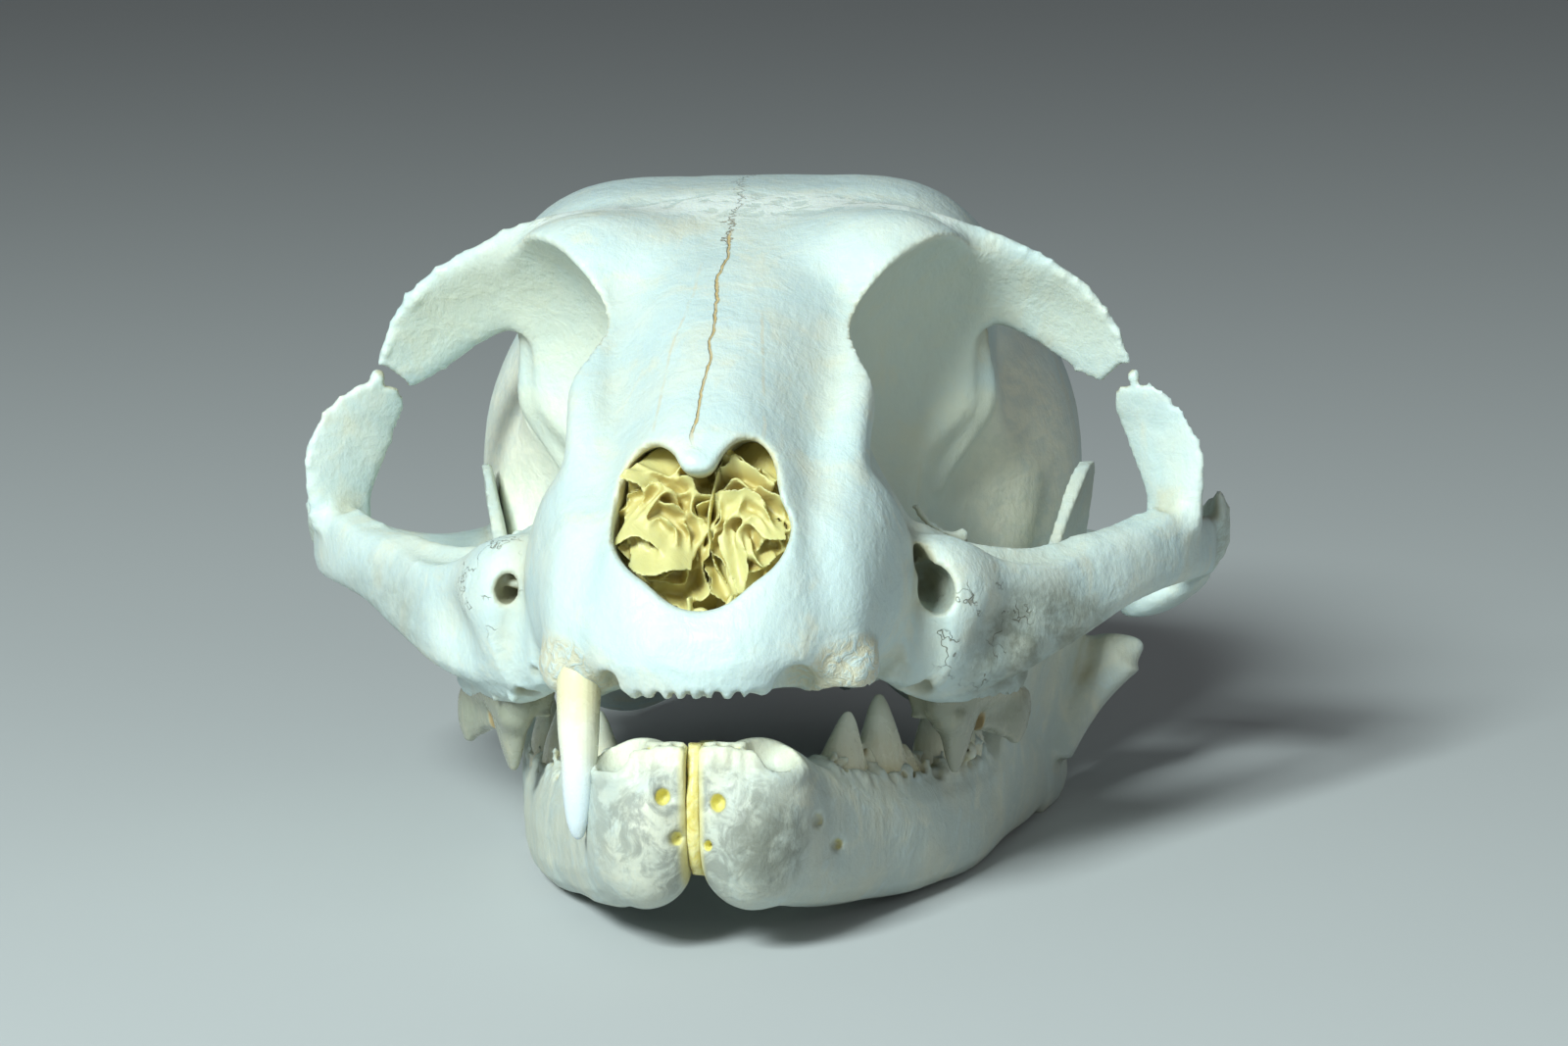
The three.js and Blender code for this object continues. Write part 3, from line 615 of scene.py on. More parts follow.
for side in SIDES.values():
    for x, y in ((1.1, 2.2), (2.5, 2.7), (4.0, 4.0)):
        head.press(egg((x, y, -0.4), (0.5, 0.75, 1.8), (20, 0, 0), side, 3), width=0.3, reach=2)
    for x, y in ((11.6, 13.2), (12.2, 15.2), (13.0, 18.0)):
        head.press(egg((x, y, -1.0), (0.8, 0.8, 2.2), (0, 0, 0), side, 3), width=0.4, reach=2)

# %% [markdown]
# ## Weathered edges
# Where a ligament was fixed to the bone its rim is scalloped, and the thin rims over the teeth end in
# small teeth of their own. Rows of uneven crumbs along the edges do that. Then soft lumps of several
# sizes take the machine-made look off the broad faces, and the spongy bone around the canine teeth gets
# a coarser, deeper grain.

# %% Scallops, knobs and lumps
draw = random.Random(7)
RIM_LOW = [(12.6, 24.6, 11.2), (15.2, 28.6, 9.7), (18.8, 32.4, 8.8), (22.6, 35.2, 9.2), (26.2, 38.0, 10.4)]
SUTURE = [(15.6, 24.6, 8.9), (17.6, 26.6, 7.9), (19.4, 29.0, 6.6), (21.6, 32.6, 4.9)]
GUM_LINE = [(10.6, 11.6, 0.0), (12.6, 15.0, -0.7), (14.6, 19.4, -0.9), (17.2, 24.6, -1.0),
            (19.4, 30.0, -0.6),
            (19.2, 34.0, 0.4)]


def spread(points, side, count, start=0.0, end=1.0):
    read = smooth_reader(points)
    places = [read(start + (end - start) * i / (count - 1)) for i in range(count)]
    return [(side * x, y, z) for x, y, z in places]


for side in SIDES.values():
    head.add(crumbs(edge_of(BROW_PLATE, side, 34, 0.15), 0.36, draw), width=0.25, reach=1.5)
    head.add(crumbs(edge_of(BROW_PLATE, side, 16, 0.55, share=-0.95), 0.24, draw), width=0.25, reach=1.5)
    head.add(crumbs(edge_of(CHEEK_PLATE, side, 30, 0.05), 0.32, draw), width=0.25, reach=1.5)
    head.add(crumbs(edge_of(CHEEK_PLATE, side, 24, 0.2, share=-0.95), 0.2, draw), width=0.2, reach=1.5)
    head.add(crumbs(head.settled(spread(RIM_LOW, side, 34, 0.25), 0.25), 0.42, draw, 0.3), width=0.6,
             reach=2)
    head.add(crumbs(head.settled(spread(SUTURE, side, 16, 0.0, 0.8), 0.15), 0.55, draw, 0.3), width=0.5,
             reach=2)
    head.add(crumbs(head.settled(spread(GUM_LINE, side, 44), 0.1), 0.3, draw, 0.3), width=0.25, reach=1.5)
    head.press(crumbs(head.settled(spread(GUM_LINE, side, 40), -0.1), 0.26, draw, 0.3), width=0.2,
               reach=1.5)
    ear_tip = head.settled([(side * 32.9, 47.5 + i * 0.45, 12.2 - i * 0.5) for i in range(9)], 0.15)
    head.add(crumbs(ear_tip, 0.36, draw, 0.3), width=0.3, reach=1.5)
    head.lumps(1.0, 0.22, 11, (side * 32.3, 49.0, 9.6), (2.2, 4.2, 3.2))
    head.lumps(0.95, 0.3, 12, (side * 8.0, 6.6, 1.6), (2.6, 2.6, 1.9))
    head.lumps(1.1, 0.2, 13, (side * 10.9, 9.6, 0.8), (2.4, 3.2, 1.6))
    head.lumps(1.3, 0.12, 14, (side * 16.5, 24.0, 0.8), (5.0, 8.0, 2.4))
    head.lumps(1.4, 0.12, 15, (side * 22.0, 33.0, 8.0), (8.0, 6.0, 2.4))
    head.lumps(1.6, 0.10, 16, (side * 13.0, 34.0, 31.0), (8.0, 5.0, 3.4))
head.lumps(9.0, 0.20, 1)
head.lumps(3.2, 0.05, 2)

# %% Skin of the cranium
HEAD_NODES = ["snout", "face", "braincase", "back_of_skull"] + [
    f"{part}_{side}" for part in ("cheekbone", "arch_root", "orbit_bar", "brow_process") for side in SIDES
]
cranium = head.skin("cranium", 194_000)


def inside(points, eggs, margin):
    """One inside any of the eggs, fading to nothing a margin outside them."""
    shares = []
    for at, radii in eggs:
        far = np.sqrt((((points - at) / (np.array(radii) + margin)) ** 2).sum(axis=1))
        shares.append(np.clip((1 - far) * min(radii) / margin, 0, 1))
    return np.max(shares, axis=0)


skin_points = numbers_of(cranium, "co")
keep_number(cranium, "nose",
            inside(skin_points, NOSE_PARTS, 0.6) * np.clip((skin_points[:, 1] - 5.2) / 2.5, 0, 1))
folded = np.abs(skin_points) * (1, 0, 0) + skin_points * (0, 1, 1)
SOCKET_PARTS = [(EYE_SOCKET["at"], EYE_SOCKET["radii"]), ((16.4, 39, 13.0), (6.5, 11, 7.0))]
keep_number(cranium, "socket", inside(folded, SOCKET_PARTS, 0.6))
seated(cranium, IN_HEAD, "bone", *HEAD_NODES)

# %% [markdown]
# ## Lower jaw
# Each half of the jaw is a curved beam with a blade behind it. The beam is a bar, and the blade is a
# flat outline extruded, then leaned outwards. The front of each half is a block with a large open socket
# for the lost canine and upright flutes where the small front teeth sat.

# %% Jaw forms
JAW_BEAM = [
    (3.6, 6.0, -8.6, 0, -0.6, 4.4, 2.2),
    (4.8, 9.0, -9.4, 0, -0.3, 4.9, 2.8),
    (6.4, 13, -10.0, 0, 0, 4.7, 2.8),
    (8.4, 18, -10.4, 0, 0, 4.2, 2.6),
    (11.3, 25, -10.2, 0, 0, 4.1, 2.5),
    (13.8, 32, -9.6, 0, 0, 4.1, 2.2),
    (15.3, 39, -8.5, 0, 0, 4.0, 1.9),
    (16.6, 46, -8.1, 0, 0, 2.9, 1.6),
    (17.5, 53, -7.9, 0, 0, 2.1, 1.4),
    (18.0, 59.5, -7.9, 0, 0, 1.3, 1.1),
]
BLADE_OUTLINE = [
    (35.5, -7), (39, -1.5), (42, 5), (44.9, 10.8), (47.4, 14.1), (49.5, 14.9), (50.9, 13.4), (51.7, 9.8),
    (53, 5.6), (55.4, 3.2), (58.4, 1.6), (59.4, -1.2), (57.6, -4.6), (58.8, -7.8), (52, -9.2), (42, -10.4),
]


def blade_out(y, z):
    return 15.4 + 0.15 * (y - 38) + 0.21 * (z + 8)


def blade(side):
    read = smooth_reader(BLADE_OUTLINE + BLADE_OUTLINE[:1])
    form = bmesh.new()
    corners = [form.verts.new((0, *read(i / 64))) for i in range(64)]
    face = form.faces.new(corners)
    grown = bmesh.ops.extrude_face_region(form, geom=[face])["geom"]
    far_side = {part for part in grown if isinstance(part, bmesh.types.BMVert)}
    for vert in form.verts:
        x, y, z = vert.co
        half = 0.9 - 0.45 * min(max((z + 4) / 18, 0), 1)
        vert.co.x = side * (blade_out(y, z) + (half if vert in far_side else -half))
    bmesh.ops.recalc_face_normals(form, faces=form.faces)
    return form

# %% Jaw clay
CHIN_GAP = 0.42
SOCKET_ROWS = [(6.3, 14.8, -5.4), (7.6, 17.2, -5.6), (9.6, 21.4, -5.7), (11.2, 25.0, -5.6),
               (13.4, 30.0, -5.2),
               (15.2, 35.0, -4.8)]
CHIN_HOLES = {
    "left": [((1.75, 2.9, -7.4), 0.55), ((1.3, 3.2, -10.1), 0.36), ((6.7, 7.6, -8.7), 0.42),
             ((8.1, 10.8, -10.4), 0.34)],
    "right": [((1.8, 2.9, -7.0), 0.5), ((1.05, 3.2, -9.7), 0.4), ((6.5, 8.4, -9.4), 0.34)],
}


def jaw_clay(side):
    low_x, high_x = (-0.6, 30) if side > 0 else (-30, 0.6)
    clay = Clay((low_x, -0.5, -16), (high_x, 63, 17), 0.24)
    draw = random.Random(20 + side)
    clay.add(egg((3.5, 6.9, -8.9), (3.7, 4.6, 5.5), (-16, 0, -18), side))
    clay.add(bar(JAW_BEAM, side, steps=40, square=2.6), width=2.0)
    clay.add(bar([(0.2, 4.6, -6.3, 0, -0.5, 2.6, 1.4), (2.0, 4.7, -6.2, 0, -0.5, 2.6, 1.4),
                  (3.9, 5.4, -6.5, 0, -0.4, 2.5, 1.4)], side, square=4), width=0.8)
    clay.add(egg((5.1, 6.4, -6.9), (2.1, 2.5, 2.9), (-14, 8, -20), side), width=0.6)
    clay.add(blade(side), width=1.6)
    clay.add(egg((21.2, 58.3, 0.7), (4.2, 1.8, 1.5), (0, -12, 0), side), width=0.8)
    clay.add(bar([(19.4, 54.0, -6.0, 0, 1.6, 0, 1.0), (21.4, 56.4, -2.4, 0, 1.8, 0, 1.2),
                  (23.8, 58.0, 0.6, 0, 1.6, 0, 1.4)],
                 side), width=1.5)
    clay.add(bar([(17.6, 52, -9.2, 0, 0, 1.4, 1.0), (18.2, 57, -9.0, 0, 0, 1.3, 0.9),
                  (18.4, 60.2, -8.2, 0, 0, 0.7, 0.6)],
                 side), width=1.5)
    clay.press(egg((23.4, 47.5, -0.4), (3.6, 8.0, 6.2), (0, 14, -8), side), width=2.0)
    clay.add(crumbs(spread(SOCKET_ROWS, side, 34), 0.6, draw, 0.35), width=1.0, reach=2)
    return clay, draw


def finish_jaw(name, side):
    clay, draw = jaw_clay(side)
    clay.add(strand([(3.5, 4.4, -4.5), (4.1, 3.8, -5.5), (5.2, 3.9, -5.9), (6.3, 4.8, -5.7),
                     (6.9, 6.1, -5.0)], side, 0.42),
             width=0.7, reach=2)
    clay.press(egg((5.0, 5.6, -3.9), (1.65, 1.6, 2.6), (-12, 6, 0), side), width=0.15)
    flutes = ((1.0, 2.6), (1.9, 2.7), (2.8, 2.9), (3.6, 3.3))
    for x, y, z in clay.settled([(side * x, y, -4.6) for x, y in flutes]):
        clay.press(egg((x, y - 0.05, z + 0.4), (0.34, 0.3, 1.4), (-8, 0, 0), 1, 3), width=0.3, reach=2)
        clay.press(egg((x, y + 1.3, -3.1), (0.34, 0.5, 1.5), (-10, 0, 0), 1, 3), width=0.2, reach=2)
    for (x, y, z), size in CHIN_HOLES[name]:
        hole = clay.settled([(side * x, y, z)])[0]
        clay.press(egg(hole, (size, 1.3, size * 1.15), detail=3), width=0.3, reach=2)
    clay.press(crumbs(spread(SOCKET_ROWS, side, 30), 0.3, draw, 1.0), width=0.25, reach=1.5)
    clay.add(crumbs(spread([(x + 0.9, y - 0.3, z + 0.1) for x, y, z in SOCKET_ROWS], side, 46), 0.24, draw,
                    1.2),
             width=0.25, reach=1.5)
    edge = clay.settled(spread([(x + 1.7, y - 0.6, z - 0.6) for x, y, z in SOCKET_ROWS], side, 54), 0.1)
    clay.add(crumbs(edge, 0.4, draw, 0.35), width=0.7, reach=2)
    clay.press(crumbs(edge[::4], 0.3, draw, 0.5), width=0.4, reach=2)
    clay.lumps(6.0, 0.16, 31 + side)
    clay.lumps(2.4, 0.05, 33 + side)
    clay.lumps(1.2, 0.16, 35 + side, (side * 3.2, 4.2, -8.0), (3.6, 2.8, 3.8))
    clay.lumps(2.6, 0.22, 37 + side, (side * 3.4, 4.2, -9.0), (4.0, 2.8, 4.0))
    other = bmesh.new()
    bmesh.ops.create_cube(other, size=1, matrix=Matrix.Translation((side * (CHIN_GAP - 8), 9, -7))
                          @ Matrix.Diagonal((16, 30, 30, 1)))
    clay.press(other, width=0.5)
    return clay.skin(f"jaw_{name}", 92_000)


def above_floor(piece):
    for vert in piece.data.vertices:
        vert.co.z = max(vert.co.z, 0.0)


jaws = {}
for name, side in SIDES.items():
    jaws[name] = finish_jaw(name, side)
    seated(jaws[name], IN_JAW, "jaw_bone", f"lower_jaw_{name}")
    above_floor(jaws[name])

# %% [markdown]
# ## Teeth
# A cusp is a bar that narrows like a blunt blade. A cheek tooth is a few of them melted together on a
# rounded base, and it needs much finer cells than the bone: each tooth has its own small block of clay.
# The number kept on each point says how far it is from root to tip, because a tooth goes from ivory at
# the neck to a bluish white at the point.

# %% Teeth
def cusp(neck, tip, half_length, half_width, row_turn=22, blunt=0.2):
    turn = math.radians(row_turn)
    along, out = (math.sin(turn), math.cos(turn)), (half_length, half_width)
    stations = []
    for share, full in ((0, 1.0), (0.25, 1.0), (0.5, 0.86), (0.72, 0.6), (0.88, 0.38), (0.97, blunt),
                        (1.0, blunt * 0.5)):
        x, y, z = (a + (b - a) * share for a, b in zip(neck, tip))
        stations.append((x, y, z, out[0] * full * along[0], out[0] * full * along[1], 0, out[1] * full))
    return stations


def tooth(name, side, low, high, forms, seat, towards, hollows=(), faces=20_000):
    ends = sorted((side * low[0], side * high[0]))
    clay = Clay((ends[0], low[1], low[2]), (ends[1], high[1], high[2]), 0.11)
    for form, width in forms:
        clay.add(form, width)
    for form, width in hollows:
        clay.press(form, width)
    clay.lumps(1.6, 0.03, 51)
    piece = clay.skin(name, faces)
    heights = numbers_of(piece, "co")[:, 2]
    neck, tip = towards
    keep_number(piece, "tip", np.clip((heights - neck) / (tip - neck), 0, 1))
    seated(piece, seat, "enamel")
    return piece


LOWER_TEETH = {
    "third_premolar": [
        ((7.7, 16.9, -8.4), (8.35, 17.9, -2.0), 2.5, 1.45),
        ((6.1, 14.4, -8.2), (6.2, 14.5, -5.0), 1.5, 1.15),
        ((9.2, 19.9, -8.2), (9.4, 20.1, -4.5), 1.2, 1.15),
    ],
    "fourth_premolar": [
        ((10.0, 22.4, -8.4), (9.9, 22.6, -1.0), 2.4, 1.6),
        ((9.0, 20.4, -8.2), (8.9, 20.3, -4.3), 1.1, 1.15),
        ((11.1, 24.8, -8.2), (11.2, 24.9, -4.4), 1.9, 1.45),
    ],
    "molar": [
        ((13.0, 29.4, -7.5), (12.7, 29.0, -1.7), 2.3, 1.25),
        ((14.5, 33.2, -7.5), (14.6, 33.7, -1.1), 2.3, 1.25),
    ],
}
teeth = []
for name, side in SIDES.items():
    for kind, cusps in LOWER_TEETH.items():
        forms = [(bar(cusp(*numbers), side, 18, 20, 2.1), 0.9) for numbers in cusps]
        xs, ys = [c[0][0] for c in cusps], [c[0][1] for c in cusps]
        low = (min(xs) - 3.2, min(ys) - 3.2, -9.6)
        high = (max(xs) + 3.2, max(ys) + 3.2, 0.2)
        teeth.append(tooth(f"{kind}_{name}", side, low, high, forms, IN_JAW, (-6.4, -2.2)))

# %% [markdown]
# The upper cutting tooth is a blade with a round bump at its front, a long main point, a notch and a
# rear lobe with a hollow behind its edge. One canine is left, the right one: a long cone that narrows
# little until close to its tip.

# %% Upper teeth
ROW = 25


def upper_blade(name, side):
    forms = [
        (egg((16.4, 26.4, -0.6), (1.5, 5.2, 1.7), (0, 0, -24), side), 0.5),
        (egg((14.1, 22.6, -1.4), (1.25, 1.35, 1.5), (0, 0, 0), side), 0.5),
        (egg((14.6, 23.0, -2.6), (1.15, 1.1, 1.0), (0, 0, 0), side), 0.3),
        (bar(cusp((15.3, 24.4, 0.8), (15.0, 24.6, -6.3), 2.1, 1.35, ROW, 0.22), side, 20, 20, 2.2), 0.8),
        (bar([(16.4, 26.8, -2.2, 0, 0, 1.5, 0.75), (17.8, 29.0, -2.3, 0, 0, 1.8, 0.7),
              (19.0, 31.0, -2.4, 0, 0, 1.7, 0.62),
              (19.5, 31.9, -2.0, 0, 0, 1.1, 0.45)], side), 0.6),
        (bar(cusp((18.4, 30.2, -1.0), (18.9, 30.4, -4.5), 1.4, 0.75, ROW, 0.3), side, 16, 16, 2.2), 0.8),
        (bar(cusp((12.7, 22.6, 1.0), (12.6, 22.8, -2.6), 0.9, 0.9, ROW, 0.45), side, 14, 16, 2.2), 0.7),
    ]
    hollows = [
        (egg((17.3, 27.2, -4.7), (1.35, 2.0, 1.15), (0, 0, -24), side), 0.4),
    ]
    return tooth(f"cutting_tooth_{name}", side, (9.5, 17.5, -7.5), (23, 36, 4), forms, IN_HEAD,
                 (-0.5, -5.0), hollows)


for name, side in SIDES.items():
    teeth.append(upper_blade(name, side))
    forms = [(egg((17.1, 33.6, -0.6), (1.7, 0.95, 1.7), (0, 0, -20), side), 0.5),
             (egg((16.2, 33.3, -0.2), (1.5, 0.8, 1.3), (0, 0, -20), side), 0.5)]
    teeth.append(tooth(f"upper_molar_{name}", side, (13, 31, -4), (20.5, 36, 3), forms, IN_HEAD, (0, -2.2),
                       (), 8000))
CANINE = [
    (8.3, 7.0, 3.6, 0, 1.9, 0, 1.34),
    (8.3, 6.8, 0.3, 0, 1.85, 0, 1.44),
    (8.3, 6.5, -2.4, 0, 1.65, 0, 1.36),
    (8.25, 6.3, -5.0, 0, 1.4, 0, 1.18),
    (8.3, 6.3, -7.2, 0, 1.1, 0, 0.98),
    (8.35, 6.5, -8.8, 0, 0.75, 0, 0.72),
    (8.35, 6.7, -9.7, 0, 0.4, 0, 0.4),
    (8.35, 6.8, -10.0, 0, 0.12, 0, 0.12),
]
canine_forms = [(bar(CANINE, -1, 60, 24, 2.15), 0.3)]
teeth.append(
    tooth("canine_right", -1, (5.5, 3.5, -11.0), (11.2, 10.2, 4.4), canine_forms, IN_HEAD, (-0.5, -8.0),
          faces=24_000)
)
print("teeth", len(teeth))

# %% [markdown]
# ## Inside the nose
# The passage is filled with scrolls of bone as thin as paper. Each leaf is a flat bar whose stations
# follow its front edge and whose arm runs back into the skull. The edges of the leaves wander, so no two
# curl alike. A bent wall parts the two sides, and two small spurs stand on the floor in front.

# %% Leaves, wall and spurs
LEAVES = {
    "right": [
        ((0.7, 0.5), [(-5.8, 6.4, 13.4), (-4.5, 7.0, 12.9), (-3.9, 7.8, 12.0), (-4.4, 8.2, 11.2),
                      (-5.8, 8.0, 11.4)]),
        ((-0.5, -0.2), [(-3.7, 6.6, 9.0), (-3.8, 6.2, 10.8), (-3.1, 6.6, 12.2), (-2.3, 7.0, 12.5),
                        (-1.7, 7.6, 11.2)]),
        ((0.2, 0.8), [(-5.9, 5.6, 9.0), (-4.7, 5.4, 9.6), (-3.3, 5.8, 9.0), (-2.2, 6.4, 8.0),
                      (-1.4, 7.4, 7.6)]),
        ((0.1, 0.9), [(-5.0, 5.4, 7.6), (-4.2, 5.0, 7.2), (-3.3, 4.8, 7.1), (-2.2, 5.0, 7.4),
                      (-0.9, 5.8, 7.4)]),
        ((-0.8, 0.1), [(-1.8, 8.0, 12.0), (-0.9, 7.6, 11.2), (-0.4, 7.4, 10.0), (-0.4, 7.6, 8.8),
                       (-0.9, 8.2, 7.4)]),
        ((0.1, -0.7), [(-4.6, 7.6, 14.4), (-3.2, 7.8, 13.6), (-1.8, 8.2, 13.4), (-0.3, 8.8, 13.7)]),
        ((-0.8, 0.2), [(-2.8, 8.0, 11.0), (-2.3, 7.6, 9.8), (-2.5, 7.8, 8.6), (-3.4, 8.2, 7.8)]),
        ((0.8, 0.3), [(-5.6, 7.4, 11.0), (-5.1, 7.2, 10.2), (-5.3, 7.4, 9.2)]),
    ],
    "left": [
        ((-0.3, -0.9), [(1.0, 7.4, 15.0), (2.2, 7.0, 14.6), (3.4, 6.8, 13.9), (4.4, 6.6, 13.0)]),
        ((0.1, -0.9), [(0.5, 7.2, 12.4), (1.6, 6.4, 12.8), (2.9, 6.2, 12.7), (3.8, 6.6, 11.8),
                       (3.6, 7.2, 10.6)]),
        ((-0.2, 0.8), [(0.8, 7.4, 10.8), (1.9, 6.6, 11.0), (2.9, 6.2, 10.4), (4.1, 5.8, 9.4),
                       (5.2, 6.2, 9.4)]),
        ((0.9, 0.1), [(0.8, 6.4, 9.6), (1.0, 6.0, 8.6), (1.5, 5.8, 7.4), (2.1, 6.0, 6.0)]),
        ((-0.7, -0.2), [(1.8, 6.6, 10.0), (2.5, 6.0, 9.0), (2.8, 5.8, 7.6), (2.4, 6.4, 6.0)]),
        ((-0.6, 0.5), [(2.9, 6.2, 9.4), (3.2, 5.8, 8.4), (3.9, 6.0, 7.6), (4.7, 6.4, 8.2)]),
        ((-0.7, 0.3), [(4.5, 7.8, 12.8), (4.7, 7.4, 11.6), (5.3, 7.2, 10.4)]),
    ],
}


def leaf(points, thick, depth, draw, lean=(0, 0)):
    stations = []
    for x, y, z in points:
        deep = depth * draw.uniform(0.85, 1.15) / 2
        lean_x, lean_z = (value + draw.uniform(-0.12, 0.12) for value in lean)
        front = y + draw.uniform(-0.25, 0.25)
        stations.append((x + lean_x * deep, front + deep, z + lean_z * deep, lean_x * deep, deep,
                         lean_z * deep, thick))
    return bar(stations, 1, steps=36, sides=12, square=2.6)


def rosette(side, middle, rings, draw):
    """Petals in rings round a middle, their roots drawn together and their front edges spread."""
    petals = []
    for radius, count, front in rings:
        start = draw.uniform(0, 360)
        for i in range(count):
            towards = math.radians(start + 360 * i / count)
            span = math.radians(360 / count * draw.uniform(0.75, 1.1))
            points = []
            for j in range(6):
                angle = towards + span * (j / 5 - 0.5)
                reach = radius * draw.uniform(0.82, 1.18)
                points.append((side * middle[0] + reach * math.cos(angle), front + draw.uniform(-0.5, 0.5),
                               middle[1] + 1.3 * reach * math.sin(angle)))
            petals.append(((-0.55 * math.cos(towards), -0.55 * math.sin(towards)), points))
    return petals


RINGS = [(0.9, 2, 6.3), (1.8, 3, 6.6), (2.7, 4, 6.9), (3.6, 6, 7.3)]
for name, side in SIDES.items():
    draw = random.Random(60 + side)
    low_x, high_x = (-0.6, 6.6) if side > 0 else (-6.6, 0.6)
    clay = Clay((low_x, 3.5, 3.2), (high_x, 20.5, 17), 0.115)
    clay.add(egg((3.0, 13.4, 9.6), (4.8, 5.4, 7.0), (0, 0, 4), side), width=0.8)
    folds = np.abs(soft_noise(clay.size, 2.1 / clay.cell, 63 + side))
    clay.field += 1.1 * folds - 0.4
    for lean, points in LEAVES[name] + rosette(side, (2.9, 9.6), RINGS, draw):
        clay.add(leaf(points, 0.1, 3.6, draw, lean), width=0.5, reach=1.5)
    clay.lumps(1.3, 0.07, 61 + side)
    room = np.full(clay.field.shape, REACH, dtype=np.float32)
    for at, radii in NOSE_PARTS:
        patch, where = clay._patch(egg(at, [radius + 0.35 for radius in radii]), REACH)
        room[where] = np.minimum(room[where], patch)
    clay.field = np.maximum(clay.field, room)
    scrolls = clay.skin(f"nose_leaves_{name}", 60_000)
    keep_number(scrolls, "deep", np.clip((numbers_of(scrolls, "co")[:, 1] - 7.0) / 5.0, 0, 1))
    seated(scrolls, IN_HEAD, "thin_bone", f"nose_scrolls_{name}")

WALL = [(1.25, 8.0, 15.4), (0.55, 7.2, 13.4), (0.15, 6.8, 11.2), (0.15, 6.6, 9.4), (0.5, 6.8, 7.9),
        (1.2, 7.4, 6.6),
        (1.7, 8.0, 5.2)]
clay = Clay((-3, 2.0, 3), (4, 19.5, 17), 0.115)
clay.add(leaf(WALL, 0.15, 9.5, random.Random(71)), width=0.3, reach=1.5)
clay.add(leaf([(-1.1, 4.6, 4.3), (-0.9, 4.4, 5.0), (-1.0, 4.5, 5.7)], 0.14, 1.2, random.Random(72)), 0.3,
         1.5)
clay.add(leaf([(-1.0, 4.9, 4.6), (-0.2, 5.0, 4.9), (0.5, 5.0, 4.4)], 0.16, 1.6, random.Random(73)), 0.3,
         1.5)
clay.add(leaf([(0.6, 5.0, 4.3), (1.3, 4.8, 4.8), (1.8, 4.9, 5.8)], 0.16, 1.4, random.Random(74)), 0.3, 1.5)
clay.lumps(1.1, 0.06, 75)
wall = clay.skin("nose_wall_leaf", 30_000)
keep_number(wall, "deep", np.clip((numbers_of(wall, "co")[:, 1] - 7.0) / 5.0, 0, 1))
seated(wall, IN_HEAD, "thin_bone", "nose_wall")

# %% [markdown]
# ## Gristle at the chin
# A band of dried gristle still holds the two halves of the jaw. It is a thin upright pad, a little sunk
# in the slot, with a slightly lumpy face.

# %% Gristle
clay = Clay((-1.6, 2, -15), (1.6, 14, -2), 0.12)
clay.add(bar([(0, 8.4, -3.7, 0, 3.8, 0, 0.52), (0, 7.8, -5.6, 0, 3.9, 0, 0.55),
              (0, 7.6, -8.4, 0, 3.8, 0, 0.55),
              (0, 8.4, -11.0, 0, 3.6, 0, 0.52), (0, 9.0, -12.2, 0, 3.0, 0, 0.45)], square=4))
clay.lumps(1.3, 0.1, 82)
gristle = clay.skin("chin_gristle", 12_000)
seated(gristle, IN_JAW, "cartilage", "chin_pad")
